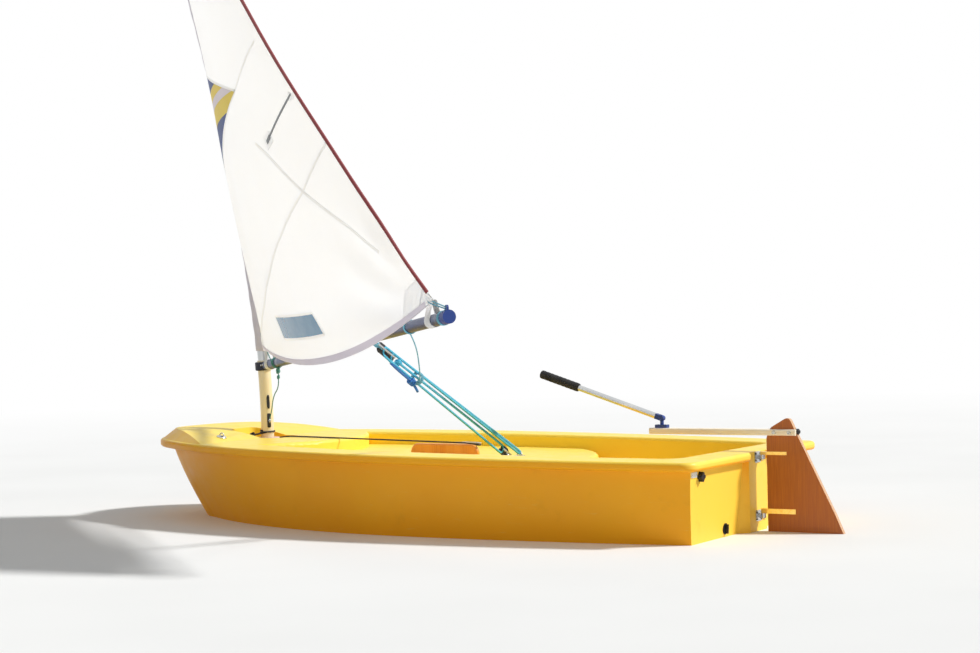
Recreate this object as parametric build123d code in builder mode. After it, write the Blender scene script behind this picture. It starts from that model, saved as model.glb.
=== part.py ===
from build123d import *
from math import cos, hypot, radians, sin
import os

os.makedirs("parts", exist_ok=True)

# Sailing dinghy, bow towards -X, port towards -Y, Z = 0 on the waterline amidships. Millimetres.

# Hull
DECK_Z = 260
SHEER_SLOPE = 0.012
FLANGE_T = 28
FLANGE_ROUND = 11
CORNER_R = 46
RIM_W = 150
TRANSOM_RIM_W = 118
DECK_DROP = 45
FLOOR_DROP = 205
WALL_CORNER_R = 70
RIM_ROUND = 12
SEAT_ROUND = 14
FLOOR_ROUND = 28
# Plan outlines: depth below the deck, stem x, nose x and half width, shoulder x and half width,
# widest x and half width, half width at the transom
FLANGE_ROW = (0, -1140, -975, 288, -550, 484, 170, 577, 484)
HULL_ROWS = [
    (10, -1098, -945, 262, -535, 449, 170, 542, 450),
    (150, -1035, -892, 236, -515, 420, 160, 524, 440),
    (262, -970, -835, 208, -490, 388, 150, 502, 425),
    (400, -880, -750, 170, -440, 340, 130, 462, 398),
]
FLANGE_END_X = 1130
TRANSOM_X = 1105.4
TRANSOM_RAKE = 0.04
# Bottom: station x, keel z, rise of the bottom at the reach of the sections
BOTTOM_REACH = 700
BOTTOM_TOP_Z = 500
KEEL_ROWS = [
    (-1300, 260, 60), (-1000, 0, 80), (-700, -80, 90), (-100, -112, 80), (600, -98, 60), (1250, -22, 50),
]
# Raised foredeck over the full width: place and half length of its arch, height, width of its flank
CROWN_X = -1020
CROWN_HALF = 280
CROWN_H = 34
CROWN_FLANK = 44
# Flat recess round the mast
FOOT_X = -765
FOOT_L = 210
FOOT_W = 150
FOOT_Z = 255
FOOT_CORNER_R = 30
# Edges that bulge aft, at the centreline and at the rim
STEP_EDGE_X = -430
STEP_EDGE_SIDE_X = -640
SEAT_EDGE_X = 500
SEAT_EDGE_SIDE_X = 290

# Rudder pillar, moulded on the transom
PILLAR_FACE_X = 1122
PILLAR_ROOT_X = 1085
PILLAR_FACE_W = 130
PILLAR_TOP_W = 152
PILLAR_FOOT_W = 310
PILLAR_FOOT_Z = -100
PILLAR_FOOT_BACK = 20
PILLAR_LAP = 4

# Mast in a step tube in the foredeck, bent to port and forward by the sail
MAST_X = -752
MAST_R = 22.5
MAST_WALL = 3.2
MAST_FOOT_Z = 60
MAST_BEND_Z = 285
MAST_BEND_R = 3500
MAST_BEND_LEN = 420
TOP_BEND_R = 9000
MAST_LEN = 2010
MAST_JOIN_LEN = 254
MAST_LAP = 90
TOPMAST_R = 19
TOPMAST_WALL = 2
STEP_R = 33
STEP_CLEAR = 0.8
STEP_FLOOR = 8
STEP_COLLAR_R = 46
STEP_COLLAR_H = 11

# Boom, out to port
BOOM_ANGLE = 38.2
BOOM_R = 17.5
BOOM_WALL = 1.8
BOOM_LEN = 1925
BOOM_START = 46
BOOM_RISE = 171
BOOM_BEND_LEN = 234
JAW_R = 31
JAW_H = 30
JAW_CLEAR = 0.1
JAW_ROUND = 4
JAW_PLUG_LEN = 60
CAP_LEN = 34
CAP_T = 1.6
CAP_FLOOR = 4
CAP_EYE_R = 8
CAP_EYE_HOLE_R = 4
CAP_EYE_T = 6
CLEW_STRAP_BACK = 130
CLEW_STRAP_AT = BOOM_LEN - CLEW_STRAP_BACK
CLEW_STRAP_W = 20
CLEW_H = 50
CLEW_LOOP_R = 4
WEBBING_T = 1.5
SHEET_STROP_AT = 1215
SHEET_STROP_W = 24

# Sail, on a sleeve round the mast
SLEEVE_GAP = 0.3
SLEEVE_T = 2.5
SLEEVE_FOOT_LEN = 288
SLEEVE_HEAD_GAP = 4
SAIL_T = 3
# Sail rows: luff z, leech z, chord, bearing to port, belly, drop of the belly
SAIL_ROWS = [
    (592, 735, 1855, 38.2, 108, 122),
    (800, 880, 1737, 39.6, 146, 20),
    (1100, 1160, 1495, 41.8, 137, 5),
    (1450, 1490, 1157, 44.1, 92, 0),
    (1800, 1825, 752, 45.0, 59, 0),
    (2100, 2110, 385, 46.0, 30, 0),
    (2250, 2254, 90, 46.5, 6, 0),
]

# Mainsheet blocks
UPPER_BLOCK_LEN = 100
LOWER_BLOCK_LEN = 58
BLOCK_W = 34
BLOCK_T = 20
BLOCK_ROUND = 5
BLOCK_GAP = 1.2
STROP_LEN = 66
STROP_T = 4
SHEET_EYE_X = 222

# Rudder, tiller and tiller extension
RUDDER_X = 1139
RUDDER_EDGE_X = 1157
RUDDER_T = 16
RUDDER_CORNER_R = 14
PIN_R = 4
PIN_CLEAR = 0.06
PIN_GAP = 0.3
EYE_WALL = 4
GUDGEON_ZS = (229, 48)
GUDGEON_H = 14
GUDGEON_W = 44
GUDGEON_PLATE_H = 34
GUDGEON_WEB_W = 10
GUDGEON_CORNER_R = 4
# Strap heights and lengths along the blade, upper and lower
STRAPS = ((10, 66), (15, 92))
STRAP_T = 2
STRAP_NOSE_R = 8
PIN_TAIL = 6
TILLER_Z = 306
TILLER_H = 19
TILLER_W = 40
TILLER_FRONT_X = 761
TILLER_BACK_X = 1256
TILLER_ROUND = 5
TILLER_BOLT_XS = (1186, 1236)
BOLT_R = 3
BOLT_HEAD_R = 6
BOLT_HEAD_H = 3
BOLT_CLEAR = 0.1
SLOT_CLEAR = 0.2
# Rudder blade outline after its straight leading edge, x and z
BLADE_OUTLINE = [
    (RUDDER_EDGE_X, 289), (1172, 321), (1231, 355), (1375, 61), (1420, -40), (1408, -190), (1330, -330),
    (1205, -345),
    (RUDDER_EDGE_X, -40),
]
JOINT_X = 798
JOINT_BASE_L = 42
JOINT_BASE_W = 26
JOINT_BASE_H = 10
JOINT_BASE_ROUND = 5
JOINT_R = 9
JOINT_W = 12
JOINT_Z = 346
JOINT_PIN_R = 3
JOINT_SIDE_CLEAR = 0.4
FORK_T = 3
EXT_TILT = 18
EXT_R = 9.5
EXT_WALL = 1.2
EXT_START = 22
EXT_TUBE_LEN = 430
EXT_PLUG_LEN = 30
GRIP_R = 14
GRIP_LEN = 145
GRIP_ROUND = 4

# Daggerboard and its case
BOARD_X = -14
BOARD_CHORD = 265
BOARD_T = 18
BOARD_TOP_Z = 254
BOARD_LEN = 860
BOARD_CORNER_R = 30
BOARD_EDGE_R = 6
CASE_CLEAR_X = 5
CASE_CLEAR_Y = 2.5
STOP_H = 18
STOP_T = 14
STOP_LEN = 230
MOUTH_CLEAR = 6
MOUTH_DEPTH = 22

# Small fittings
PLATE_T = 2.5
SEAT_GAP = 0.3
EYE_PLATE_L = 46
EYE_PLATE_W = 24
EYE_RING_R = 10
EYE_WIRE_R = 2.6
HOOK_EYE_X = -822
BUNG_Y = -190
BUNG_DEPTH = 222
BUNG_R = 17
BUNG_GRIP_W = 6
BUNG_GRIP_H = 9
KNOB_Y = -385
KNOB_DEPTH = 48
KNOB_H = 14
KNOB_LOBES = 4
KNOB_CORE_R = 10.5
KNOB_LOBE_AT_R = 9
KNOB_LOBE_R = 6
LABEL_Y = -424
LABEL_DEPTH = 40
LABEL_W = 38
LABEL_H = 16
LABEL_CORNER_R = 3
CLEAT_LEN = 107
CLEAT_H = 40
CLEAT_W = 12
CLEAT_OUT = 16

deck = Plane(origin=(0, 0, DECK_Z), x_dir=(1, 0, -SHEER_SLOPE), z_dir=(SHEER_SLOPE, 0, 1))
up = Vector(0, 0, 1)
bearing = radians(BOOM_ANGLE)
boom_way = Vector(cos(bearing), -sin(bearing), 0)
lee_way = Vector(-sin(bearing), -cos(bearing), 0)
UPWARD = (Align.CENTER, Align.CENTER, Align.MIN)
DOWNWARD = (Align.CENTER, Align.CENTER, Align.MAX)
AFTWARD = (Align.MIN, Align.CENTER, Align.CENTER)


def deck_z(x, drop=0):
    return DECK_Z - SHEER_SLOPE * x - drop


def save(solid, name):
    solid.label = name
    export_step(solid, f"parts/{name}.step")


def outline(row, inset=0, transom_inset=0):
    """Plan outline of arcs with a straight transom, moved inwards by the insets."""
    depth, stem_x, nose_x, nose_y, bow_x, bow_y, wide_x, wide_y, tail_y = row
    tail_x = TRANSOM_X - TRANSOM_RAKE * depth if depth else FLANGE_END_X
    tail_x += inset - (transom_inset or inset)
    with BuildSketch(Plane.XY) as plan:
        with BuildLine():
            ThreePointArc((nose_x, -nose_y), (stem_x, 0), (nose_x, nose_y))
            for side in (1, -1):
                fore = TangentArc((wide_x, side * wide_y), (bow_x, side * bow_y), tangent=(-1, 0))
                TangentArc((bow_x, side * bow_y), (nose_x, side * nose_y), tangent=fore % 1)
                TangentArc((wide_x, side * wide_y), (tail_x, side * tail_y), tangent=(1, 0))
            Line((tail_x, -tail_y), (tail_x, tail_y))
        make_face()
        if inset:
            offset(amount=-inset)
    return plan.sketch


def recess(edge_x, edge_side_x):
    """Recess inside the rim, aft of an edge that bulges aft."""
    half = FLANGE_ROW[7] - RIM_W
    bulge = edge_x - edge_side_x
    edge_r = (half**2 + bulge**2) / (2 * bulge)
    aft_x = FLANGE_END_X - TRANSOM_RIM_W
    with BuildSketch(Plane.XY) as plan:
        add(outline(FLANGE_ROW, RIM_W, TRANSOM_RIM_W))
        with Locations(((edge_side_x + aft_x) / 2, 0)):
            Rectangle(aft_x - edge_side_x, 4 * half, mode=Mode.INTERSECT)
        with Locations((edge_x - edge_r, 0)):
            Circle(edge_r, mode=Mode.SUBTRACT)
        fillet(plan.vertices().group_by(Axis.X)[-1], WALL_CORNER_R)
    return plan.sketch


def recess_edges(solid, depth):
    """Edges of the recess that lie at a depth below the deck."""
    found = ShapeList()
    for edge in solid.edges():
        spots = [deck.to_local_coords(edge.position_at(share)) for share in (0, 0.3, 0.7, 1)]
        aft_x = FLANGE_END_X - TRANSOM_RIM_W + 1
        side_y = FLANGE_ROW[7] - RIM_W + 1
        inside = all(STEP_EDGE_SIDE_X < spot.X < aft_x and abs(spot.Y) < side_y for spot in spots)
        if inside and all(abs(spot.Z + depth) < 0.05 for spot in spots):
            found.append(edge)
    return found


def on_deck(x, y=0, drop=0):
    """Plane that lies on the sloping deck, or below it by the drop."""
    return Plane(origin=deck.from_local_coords((x, y, -drop)), x_dir=deck.x_dir, z_dir=deck.z_dir)


def on_transom(y, depth):
    """Plane on the transom, facing aft, with its own y upwards."""
    spot = deck.from_local_coords((TRANSOM_X - TRANSOM_RAKE * depth, y, -depth))
    return Plane(origin=spot, x_dir=(0, 1, 0), z_dir=deck.x_dir - deck.z_dir * TRANSOM_RAKE)


def bend(length):
    """Offset to leeward, height and tilt of the mast, at a length along it above the bend's start."""
    low = min(length, MAST_BEND_LEN) / MAST_BEND_R
    off = MAST_BEND_R * (1 - cos(low))
    z = MAST_BEND_Z + MAST_BEND_R * sin(low)
    if length <= MAST_BEND_LEN:
        return off, z, low
    high = low + (length - MAST_BEND_LEN) / TOP_BEND_R
    off += TOP_BEND_R * (cos(low) - cos(high))
    z += TOP_BEND_R * (sin(high) - sin(low))
    return off, z, high


def mast_point(length):
    off, z, _ = bend(length)
    return Vector(MAST_X, 0, z) + lee_way * off


def mast_plane(length):
    off, z, tilt = bend(length)
    return Plane(origin=mast_point(length), x_dir=boom_way, z_dir=lee_way * sin(tilt) + up * cos(tilt))


def mast_length(z):
    """Length along the bent mast where it reaches a height."""
    length = z - MAST_BEND_Z
    for _ in range(8):
        length += z - bend(length)[1]
    return length


def mast_tube(start, end, outer_r, inner_r):
    """Tube along the bent mast, between two lengths above the bend's start."""
    stops = [start] + [s for s in (MAST_BEND_LEN,) if start < s < end] + [end]
    with BuildPart() as tube:
        with BuildLine() as path:
            for a, b in zip(stops, stops[1:]):
                ThreePointArc(mast_point(a), mast_point((a + b) / 2), mast_point(b))
        with BuildSketch(mast_plane(start)):
            Circle(outer_r)
            Circle(inner_r, mode=Mode.SUBTRACT)
        sweep(path=path.wire())
    return tube.part


boom_foot = mast_point(BOOM_BEND_LEN)
boom_axis = (boom_way * BOOM_LEN + up * BOOM_RISE).normalized()


def boom_plane(length):
    """Plane across the boom, with its own y upwards."""
    return Plane(origin=boom_foot + boom_axis * length, x_dir=up.cross(boom_axis), z_dir=boom_axis)


def boom_side(length):
    """Upright plane along the boom, with its own y upwards."""
    return Plane(origin=boom_foot + boom_axis * length, x_dir=boom_axis, z_dir=boom_axis.cross(up))


def deck_eye(base):
    """Eye on a small plate that lies on a plane."""
    with BuildPart() as eye:
        with BuildSketch(base):
            RectangleRounded(EYE_PLATE_L, EYE_PLATE_W, EYE_PLATE_W / 3)
        extrude(amount=PLATE_T)
        with Locations(base.offset(PLATE_T).location * Location((0, 0, 0), (90, 0, 0))):
            Torus(EYE_RING_R, EYE_WIRE_R)
        split(bisect_by=base, keep=Keep.TOP)
    return eye.part


def pulley(base, length):
    """Block with its long axis along the plane's x, from the plane's origin on."""
    with BuildPart() as block:
        with BuildSketch(base.offset(-BLOCK_T / 2)):
            with Locations((length / 2, 0)):
                SlotOverall(length, BLOCK_W)
        extrude(amount=BLOCK_T)
        fillet(block.faces().sort_by(Axis(base.origin, base.z_dir))[-1].edges(), BLOCK_ROUND)
        fillet(block.faces().sort_by(Axis(base.origin, base.z_dir))[0].edges(), BLOCK_ROUND)
    return block.part


# Bottom, as a tool with rocker and a round section
with BuildPart() as bottom:
    for x, keel, rise in KEEL_ROWS:
        side_z = keel + rise
        with BuildSketch(Plane(origin=(x, 0, 0), x_dir=(0, 1, 0), z_dir=(1, 0, 0))):
            with BuildLine():
                ThreePointArc((-BOTTOM_REACH, side_z), (0, keel), (BOTTOM_REACH, side_z))
                Line((BOTTOM_REACH, side_z), (BOTTOM_REACH, BOTTOM_TOP_Z))
                Line((BOTTOM_REACH, BOTTOM_TOP_Z), (-BOTTOM_REACH, BOTTOM_TOP_Z))
                Line((-BOTTOM_REACH, BOTTOM_TOP_Z), (-BOTTOM_REACH, side_z))
            make_face()
    loft()

# Rim, as a plate with rounded edges
with BuildPart() as rim:
    with BuildSketch(deck) as rim_plan:
        add(outline(FLANGE_ROW))
        fillet(rim_plan.vertices().group_by(Axis.X)[-1], CORNER_R)
    extrude(amount=-FLANGE_T)
    fillet(faces().sort_by(Axis.Z)[-1].edges() + faces().sort_by(Axis.Z)[0].edges(), FLANGE_ROUND)

# Raised foredeck, full width, with a sloping flank
with BuildPart() as crown:
    with BuildSketch(deck):
        add(outline(FLANGE_ROW, FLANGE_ROUND))
    with BuildSketch(deck.offset(CROWN_H)):
        add(outline(FLANGE_ROW, FLANGE_ROUND + CROWN_FLANK))
    loft()
    crown_r = (CROWN_HALF**2 + CROWN_H**2) / (2 * CROWN_H)
    with Locations(Location((CROWN_X, 0, deck_z(CROWN_X) + CROWN_H - crown_r), (90, 0, 0))):
        Cylinder(crown_r, 2 * BOTTOM_REACH, mode=Mode.INTERSECT)

# Hull: one closed moulding, with the recessed deck, footwell, board slot and mast socket cut in
step_floor_z = MAST_FOOT_Z - SEAT_GAP - STEP_FLOOR
mouth_z = deck_z(BOARD_X, DECK_DROP) - MOUTH_DEPTH
case_l = BOARD_CHORD + 2 * CASE_CLEAR_X
with BuildPart() as hull:
    for row in HULL_ROWS:
        with BuildSketch(deck.offset(-row[0])):
            add(outline(row))
    loft()
    for z, root_x, root_w in (
        (deck_z(PILLAR_FACE_X, FLANGE_T - PILLAR_LAP), PILLAR_ROOT_X, PILLAR_TOP_W),
        (PILLAR_FOOT_Z, PILLAR_ROOT_X - PILLAR_FOOT_BACK, PILLAR_FOOT_W),
    ):
        root_y = root_w / 2
        face_y = PILLAR_FACE_W / 2
        with BuildSketch(Plane.XY.offset(z)):
            with BuildLine():
                Line((root_x, -root_y), (PILLAR_FACE_X, -face_y))
                Line((PILLAR_FACE_X, -face_y), (PILLAR_FACE_X, face_y))
                Line((PILLAR_FACE_X, face_y), (root_x, root_y))
                Line((root_x, root_y), (root_x, -root_y))
            make_face()
    loft(ruled=True)
    add(bottom.part, mode=Mode.INTERSECT)
    add(rim.part)
    add(crown.part)
    with BuildSketch(deck):
        add(recess(STEP_EDGE_X, STEP_EDGE_SIDE_X))
    extrude(amount=-DECK_DROP, mode=Mode.SUBTRACT)
    with BuildSketch(deck):
        add(recess(SEAT_EDGE_X, SEAT_EDGE_SIDE_X))
    extrude(amount=-FLOOR_DROP, mode=Mode.SUBTRACT)
    with BuildSketch(Plane.XY.offset(FOOT_Z)):
        with Locations((FOOT_X, 0)):
            RectangleRounded(FOOT_L, FOOT_W, FOOT_CORNER_R)
    extrude(amount=DECK_DROP + CROWN_H, mode=Mode.SUBTRACT)
    with Locations((BOARD_X, 0, 0)):
        Box(case_l, BOARD_T + 2 * CASE_CLEAR_Y, 4 * DECK_Z, mode=Mode.SUBTRACT)
    with Locations((BOARD_X, 0, mouth_z)):
        Box(case_l, BOARD_T + 2 * STOP_T + 2 * MOUTH_CLEAR, DECK_Z, align=UPWARD, mode=Mode.SUBTRACT)
    with Locations((MAST_X, 0, step_floor_z)):
        Cylinder(STEP_R, DECK_Z, align=UPWARD, mode=Mode.SUBTRACT)
    with Locations((PILLAR_FACE_X, 0, 0)):
        Box(BOTTOM_REACH, PILLAR_FACE_W, 4 * DECK_Z, align=AFTWARD, mode=Mode.SUBTRACT)
    fillet(recess_edges(hull.part, FLOOR_DROP), FLOOR_ROUND)
    fillet(recess_edges(hull.part, 0), RIM_ROUND)
    fillet(recess_edges(hull.part, DECK_DROP).sort_by(Axis.X)[-1], SEAT_ROUND)
save(hull.part, "hull")

# Mast step: a lined socket with a collar on the deck
with BuildPart() as mast_step:
    with Locations((MAST_X, 0, step_floor_z)):
        Cylinder(STEP_R, FOOT_Z - step_floor_z, align=UPWARD)
    with Locations((MAST_X, 0, FOOT_Z)):
        Cylinder(STEP_COLLAR_R, STEP_COLLAR_H, align=UPWARD)
    fillet(mast_step.edges().sort_by(Axis.Z)[-1], STEP_COLLAR_H / 3)
    with Locations((MAST_X, 0, MAST_FOOT_Z - SEAT_GAP)):
        Cylinder(MAST_R + STEP_CLEAR, DECK_Z, align=UPWARD, mode=Mode.SUBTRACT)
save(mast_step.part, "mast_step")

# Lower mast, straight in its step and bent above it
with BuildPart() as mast_lower:
    with Locations((MAST_X, 0, MAST_FOOT_Z)):
        Cylinder(MAST_R, MAST_BEND_Z - MAST_FOOT_Z, align=UPWARD)
        Cylinder(MAST_R - MAST_WALL, MAST_BEND_Z - MAST_FOOT_Z, align=UPWARD, mode=Mode.SUBTRACT)
    add(mast_tube(0, MAST_JOIN_LEN, MAST_R, MAST_R - MAST_WALL))
save(mast_lower.part, "mast_lower")

# Upper mast, lapped into the lower mast
save(mast_tube(MAST_JOIN_LEN - MAST_LAP, MAST_LEN, TOPMAST_R, TOPMAST_R - TOPMAST_WALL), "mast_upper")

# Cleat on the aft side of the mast
with BuildPart() as mast_cleat:
    with Locations(mast_plane(CLEAT_LEN)):
        with Locations((MAST_R, 0, 0)):
            Box(2 * CLEAT_OUT, CLEAT_W, CLEAT_H)
        Cylinder(MAST_R + SEAT_GAP, 2 * CLEAT_H, mode=Mode.SUBTRACT)
save(mast_cleat.part, "mast_cleat")

# Boom with its jaw and end cap
with BuildPart() as boom:
    with BuildSketch(boom_plane(BOOM_START)):
        Circle(BOOM_R)
        Circle(BOOM_R - BOOM_WALL, mode=Mode.SUBTRACT)
    extrude(amount=BOOM_LEN - CAP_FLOOR - BOOM_START)
save(boom.part, "boom")

with BuildPart() as boom_jaw:
    with BuildSketch(mast_plane(BOOM_BEND_LEN).offset(-JAW_H / 2)):
        Circle(JAW_R)
    extrude(amount=JAW_H)
    fillet(boom_jaw.edges().filter_by(GeomType.CIRCLE), JAW_ROUND)
    with BuildSketch(boom_plane(0)):
        Circle(BOOM_R - BOOM_WALL)
    extrude(amount=BOOM_START + JAW_PLUG_LEN)
    with BuildSketch(mast_plane(BOOM_BEND_LEN).offset(-JAW_R)):
        Circle(MAST_R + JAW_CLEAR)
    extrude(amount=2 * JAW_R, mode=Mode.SUBTRACT)
save(boom_jaw.part, "boom_jaw")

with BuildPart() as boom_cap:
    with BuildSketch(boom_plane(BOOM_LEN - CAP_LEN)):
        Circle(BOOM_R + CAP_T)
    extrude(amount=CAP_LEN)
    with BuildSketch(boom_side(BOOM_LEN - CAP_LEN / 2)):
        with Locations((0, BOOM_R + CAP_EYE_R)):
            Circle(CAP_EYE_R)
        with Locations((0, BOOM_R)):
            Rectangle(2 * CAP_EYE_R, 2 * CAP_EYE_R)
        with Locations((0, BOOM_R + CAP_EYE_R)):
            Circle(CAP_EYE_HOLE_R, mode=Mode.SUBTRACT)
    extrude(amount=CAP_EYE_T / 2, both=True)
    with BuildSketch(boom_plane(BOOM_LEN - CAP_LEN)):
        Circle(BOOM_R)
    extrude(amount=CAP_LEN - CAP_FLOOR, mode=Mode.SUBTRACT)
save(boom_cap.part, "boom_cap")

# Webbing loops round the boom, at the clew and for the mainsheet
with BuildPart() as clew_strap:
    for reach, mode in ((WEBBING_T, Mode.ADD), (0, Mode.SUBTRACT)):
        with BuildSketch(boom_plane(CLEW_STRAP_AT)):
            Circle(BOOM_R + reach)
            with Locations((0, CLEW_H)):
                Circle(CLEW_LOOP_R + reach)
            make_hull()
        extrude(amount=CLEW_STRAP_W / 2, both=True, mode=mode)
save(clew_strap.part, "clew_strap")

strop_spot = boom_foot + boom_axis * SHEET_STROP_AT
sheet_base = on_deck(SHEET_EYE_X, 0, DECK_DROP)
sheet_top = sheet_base.offset(PLATE_T + EYE_RING_R + EYE_WIRE_R).origin
sheet_axis = (sheet_top - strop_spot).normalized()
with BuildPart() as sheet_strop:
    with BuildSketch(boom_plane(SHEET_STROP_AT)):
        Circle(BOOM_R + WEBBING_T)
    extrude(amount=SHEET_STROP_W / 2, both=True)
    with BuildSketch(Plane(origin=strop_spot, x_dir=boom_axis, z_dir=sheet_axis)):
        Rectangle(SHEET_STROP_W, STROP_T)
    extrude(amount=STROP_LEN)
    with BuildSketch(boom_plane(SHEET_STROP_AT)):
        Circle(BOOM_R)
    extrude(amount=2 * SHEET_STROP_W, both=True, mode=Mode.SUBTRACT)
save(sheet_strop.part, "sheet_strop")

# Mainsheet blocks and the eye in the deck
block_flat = sheet_axis.cross(up)
upper_block_plane = Plane(origin=strop_spot + sheet_axis * STROP_LEN, x_dir=sheet_axis, z_dir=block_flat)
save(pulley(upper_block_plane, UPPER_BLOCK_LEN), "sheet_block_upper")
lower_block_plane = Plane(origin=sheet_top - sheet_axis * BLOCK_GAP, x_dir=-sheet_axis, z_dir=block_flat)
save(pulley(lower_block_plane, LOWER_BLOCK_LEN), "sheet_block_lower")
save(deck_eye(sheet_base), "sheet_eye")
save(deck_eye(Plane(origin=(HOOK_EYE_X, 0, FOOT_Z))), "hook_eye")

# Sail: a bellied panel with a sleeve round the mast
sleeve_r = TOPMAST_R + SLEEVE_GAP + SLEEVE_T
with BuildPart() as sail:
    for luff_z, leech_z, chord, chord_bearing, belly, drop in SAIL_ROWS:
        luff = mast_point(mast_length(luff_z))
        turn = radians(chord_bearing)
        mast_at_leech = mast_point(mast_length(leech_z))
        leech = mast_at_leech + Vector(cos(turn), -sin(turn), 0) * chord
        row_axis = (leech - luff).normalized()
        row_lee = Vector(-sin(turn), -cos(turn), 0) * max(belly, 1) - up * drop
        depth = hypot(belly, drop)
        span = (leech - luff).length
        start = sleeve_r - SLEEVE_T / 2
        with BuildSketch(Plane(origin=luff, x_dir=row_axis, z_dir=row_axis.cross(row_lee))):
            with BuildLine():
                ThreePointArc((start, 0), (span / 2, depth), (span, 0))
                Line((span, 0), (span, SAIL_T))
                ThreePointArc((span, SAIL_T), (span / 2, depth + SAIL_T), (start, SAIL_T))
                Line((start, SAIL_T), (start, 0))
            make_face()
    loft()
    add(mast_tube(SLEEVE_FOOT_LEN, MAST_LEN + SLEEVE_HEAD_GAP, sleeve_r, TOPMAST_R + SLEEVE_GAP))
save(sail.part, "sail")

# Gudgeons on the rudder pillar
for name, z in zip(("gudgeon_upper", "gudgeon_lower"), GUDGEON_ZS):
    with BuildPart() as gudgeon:
        with BuildSketch(Plane(origin=(PILLAR_FACE_X, 0, z), x_dir=(0, 1, 0), z_dir=(1, 0, 0))):
            RectangleRounded(GUDGEON_W, GUDGEON_PLATE_H, GUDGEON_CORNER_R)
        extrude(amount=PLATE_T)
        with Locations(((PILLAR_FACE_X + RUDDER_X) / 2, 0, z)):
            Box(RUDDER_X - PILLAR_FACE_X, GUDGEON_WEB_W, GUDGEON_H)
        with Locations((RUDDER_X, 0, z)):
            Cylinder(PIN_R + PIN_CLEAR + EYE_WALL, GUDGEON_H)
            Cylinder(PIN_R + PIN_CLEAR, 2 * GUDGEON_H, mode=Mode.SUBTRACT)
    save(gudgeon.part, name)

# Rudder straps, each with its pin
for name, (strap_h, strap_len), z in zip(("strap_upper", "strap_lower"), STRAPS, GUDGEON_ZS):
    strap_z = z + GUDGEON_H / 2 + PIN_GAP
    with BuildPart() as strap:
        with BuildSketch(Plane.XY.offset(strap_z)):
            with Locations((RUDDER_X, 0)):
                Circle(STRAP_NOSE_R)
            with Locations((RUDDER_EDGE_X - STRAP_T, 0)):
                Rectangle(STRAP_T, RUDDER_T + 2 * STRAP_T, align=(Align.MIN, Align.CENTER))
            make_hull()
            with Locations((RUDDER_EDGE_X, 0)):
                Rectangle(strap_len, RUDDER_T + 2 * STRAP_T, align=(Align.MIN, Align.CENTER))
                Rectangle(strap_len, RUDDER_T, align=(Align.MIN, Align.CENTER), mode=Mode.SUBTRACT)
        extrude(amount=strap_h)
        with Locations((RUDDER_X, 0, strap_z + strap_h / 2)):
            Cylinder(PIN_R, strap_h / 2 + PIN_GAP + GUDGEON_H + PIN_TAIL, align=DOWNWARD)
    save(strap.part, name)

# Rudder blade
with BuildPart() as rudder_blade:
    with BuildSketch(Plane(origin=(0, RUDDER_T / 2, 0), x_dir=(1, 0, 0), z_dir=(0, -1, 0))) as blade_side:
        with BuildLine():
            for a, b in zip(BLADE_OUTLINE, BLADE_OUTLINE[1:] + BLADE_OUTLINE[:1]):
                Line(a, b)
        make_face()
        fillet(blade_side.vertices(), RUDDER_CORNER_R)
    extrude(amount=RUDDER_T)
    for x in TILLER_BOLT_XS:
        with Locations(Location((x, 0, TILLER_Z), (90, 0, 0))):
            Cylinder(BOLT_R + BOLT_CLEAR, 2 * RUDDER_T, mode=Mode.SUBTRACT)
save(rudder_blade.part, "rudder_blade")

# Tiller, forked over the rudder head
with BuildPart() as tiller:
    with Locations(((TILLER_FRONT_X + TILLER_BACK_X) / 2, 0, TILLER_Z)):
        Box(TILLER_BACK_X - TILLER_FRONT_X, TILLER_W, TILLER_H)
    fillet(tiller.edges().filter_by(Axis.X), TILLER_ROUND)
    with Locations((RUDDER_EDGE_X - PIN_GAP, 0, TILLER_Z)):
        Box(
            TILLER_BACK_X - RUDDER_EDGE_X + TILLER_W, RUDDER_T + 2 * SLOT_CLEAR, 2 * TILLER_H,
            align=AFTWARD, mode=Mode.SUBTRACT,
        )
    for x in TILLER_BOLT_XS:
        with Locations(Location((x, 0, TILLER_Z), (90, 0, 0))):
            Cylinder(BOLT_R + BOLT_CLEAR, 2 * TILLER_W, mode=Mode.SUBTRACT)
save(tiller.part, "tiller")

for index, x in enumerate(TILLER_BOLT_XS, 1):
    with BuildPart() as bolt:
        with Locations(Location((x, 0, TILLER_Z), (90, 0, 0))):
            Cylinder(BOLT_R, TILLER_W)
            for side in (1, -1):
                with Locations((0, 0, side * (TILLER_W + BOLT_HEAD_H) / 2)):
                    Cylinder(BOLT_HEAD_R, BOLT_HEAD_H)
    save(bolt.part, f"tiller_bolt_{index}")

# Joint of the tiller extension: base, rubber neck, then the fork and tube
tiller_top = TILLER_Z + TILLER_H / 2
with BuildPart() as joint_base:
    with Locations((JOINT_X, 0, tiller_top)):
        Box(JOINT_BASE_L, JOINT_BASE_W, JOINT_BASE_H, align=UPWARD)
    fillet(joint_base.edges().filter_by(Axis.Z), JOINT_BASE_ROUND)
save(joint_base.part, "joint_base")

with BuildPart() as joint_neck:
    with Locations((JOINT_X, 0, tiller_top + JOINT_BASE_H)):
        Cylinder(JOINT_W / 2, JOINT_Z - tiller_top - JOINT_BASE_H, align=UPWARD)
    with Locations(Location((JOINT_X, 0, JOINT_Z), (90, 0, 0))):
        Cylinder(JOINT_R, JOINT_W)
        Cylinder(JOINT_PIN_R + PIN_CLEAR, JOINT_W, mode=Mode.SUBTRACT)
save(joint_neck.part, "joint_neck")

ext_way = Vector(-cos(radians(EXT_TILT)), 0, sin(radians(EXT_TILT)))
joint_spot = Vector(JOINT_X, 0, JOINT_Z)


def ext_plane(length):
    return Plane(origin=joint_spot + ext_way * length, x_dir=(0, 1, 0), z_dir=ext_way)


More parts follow.
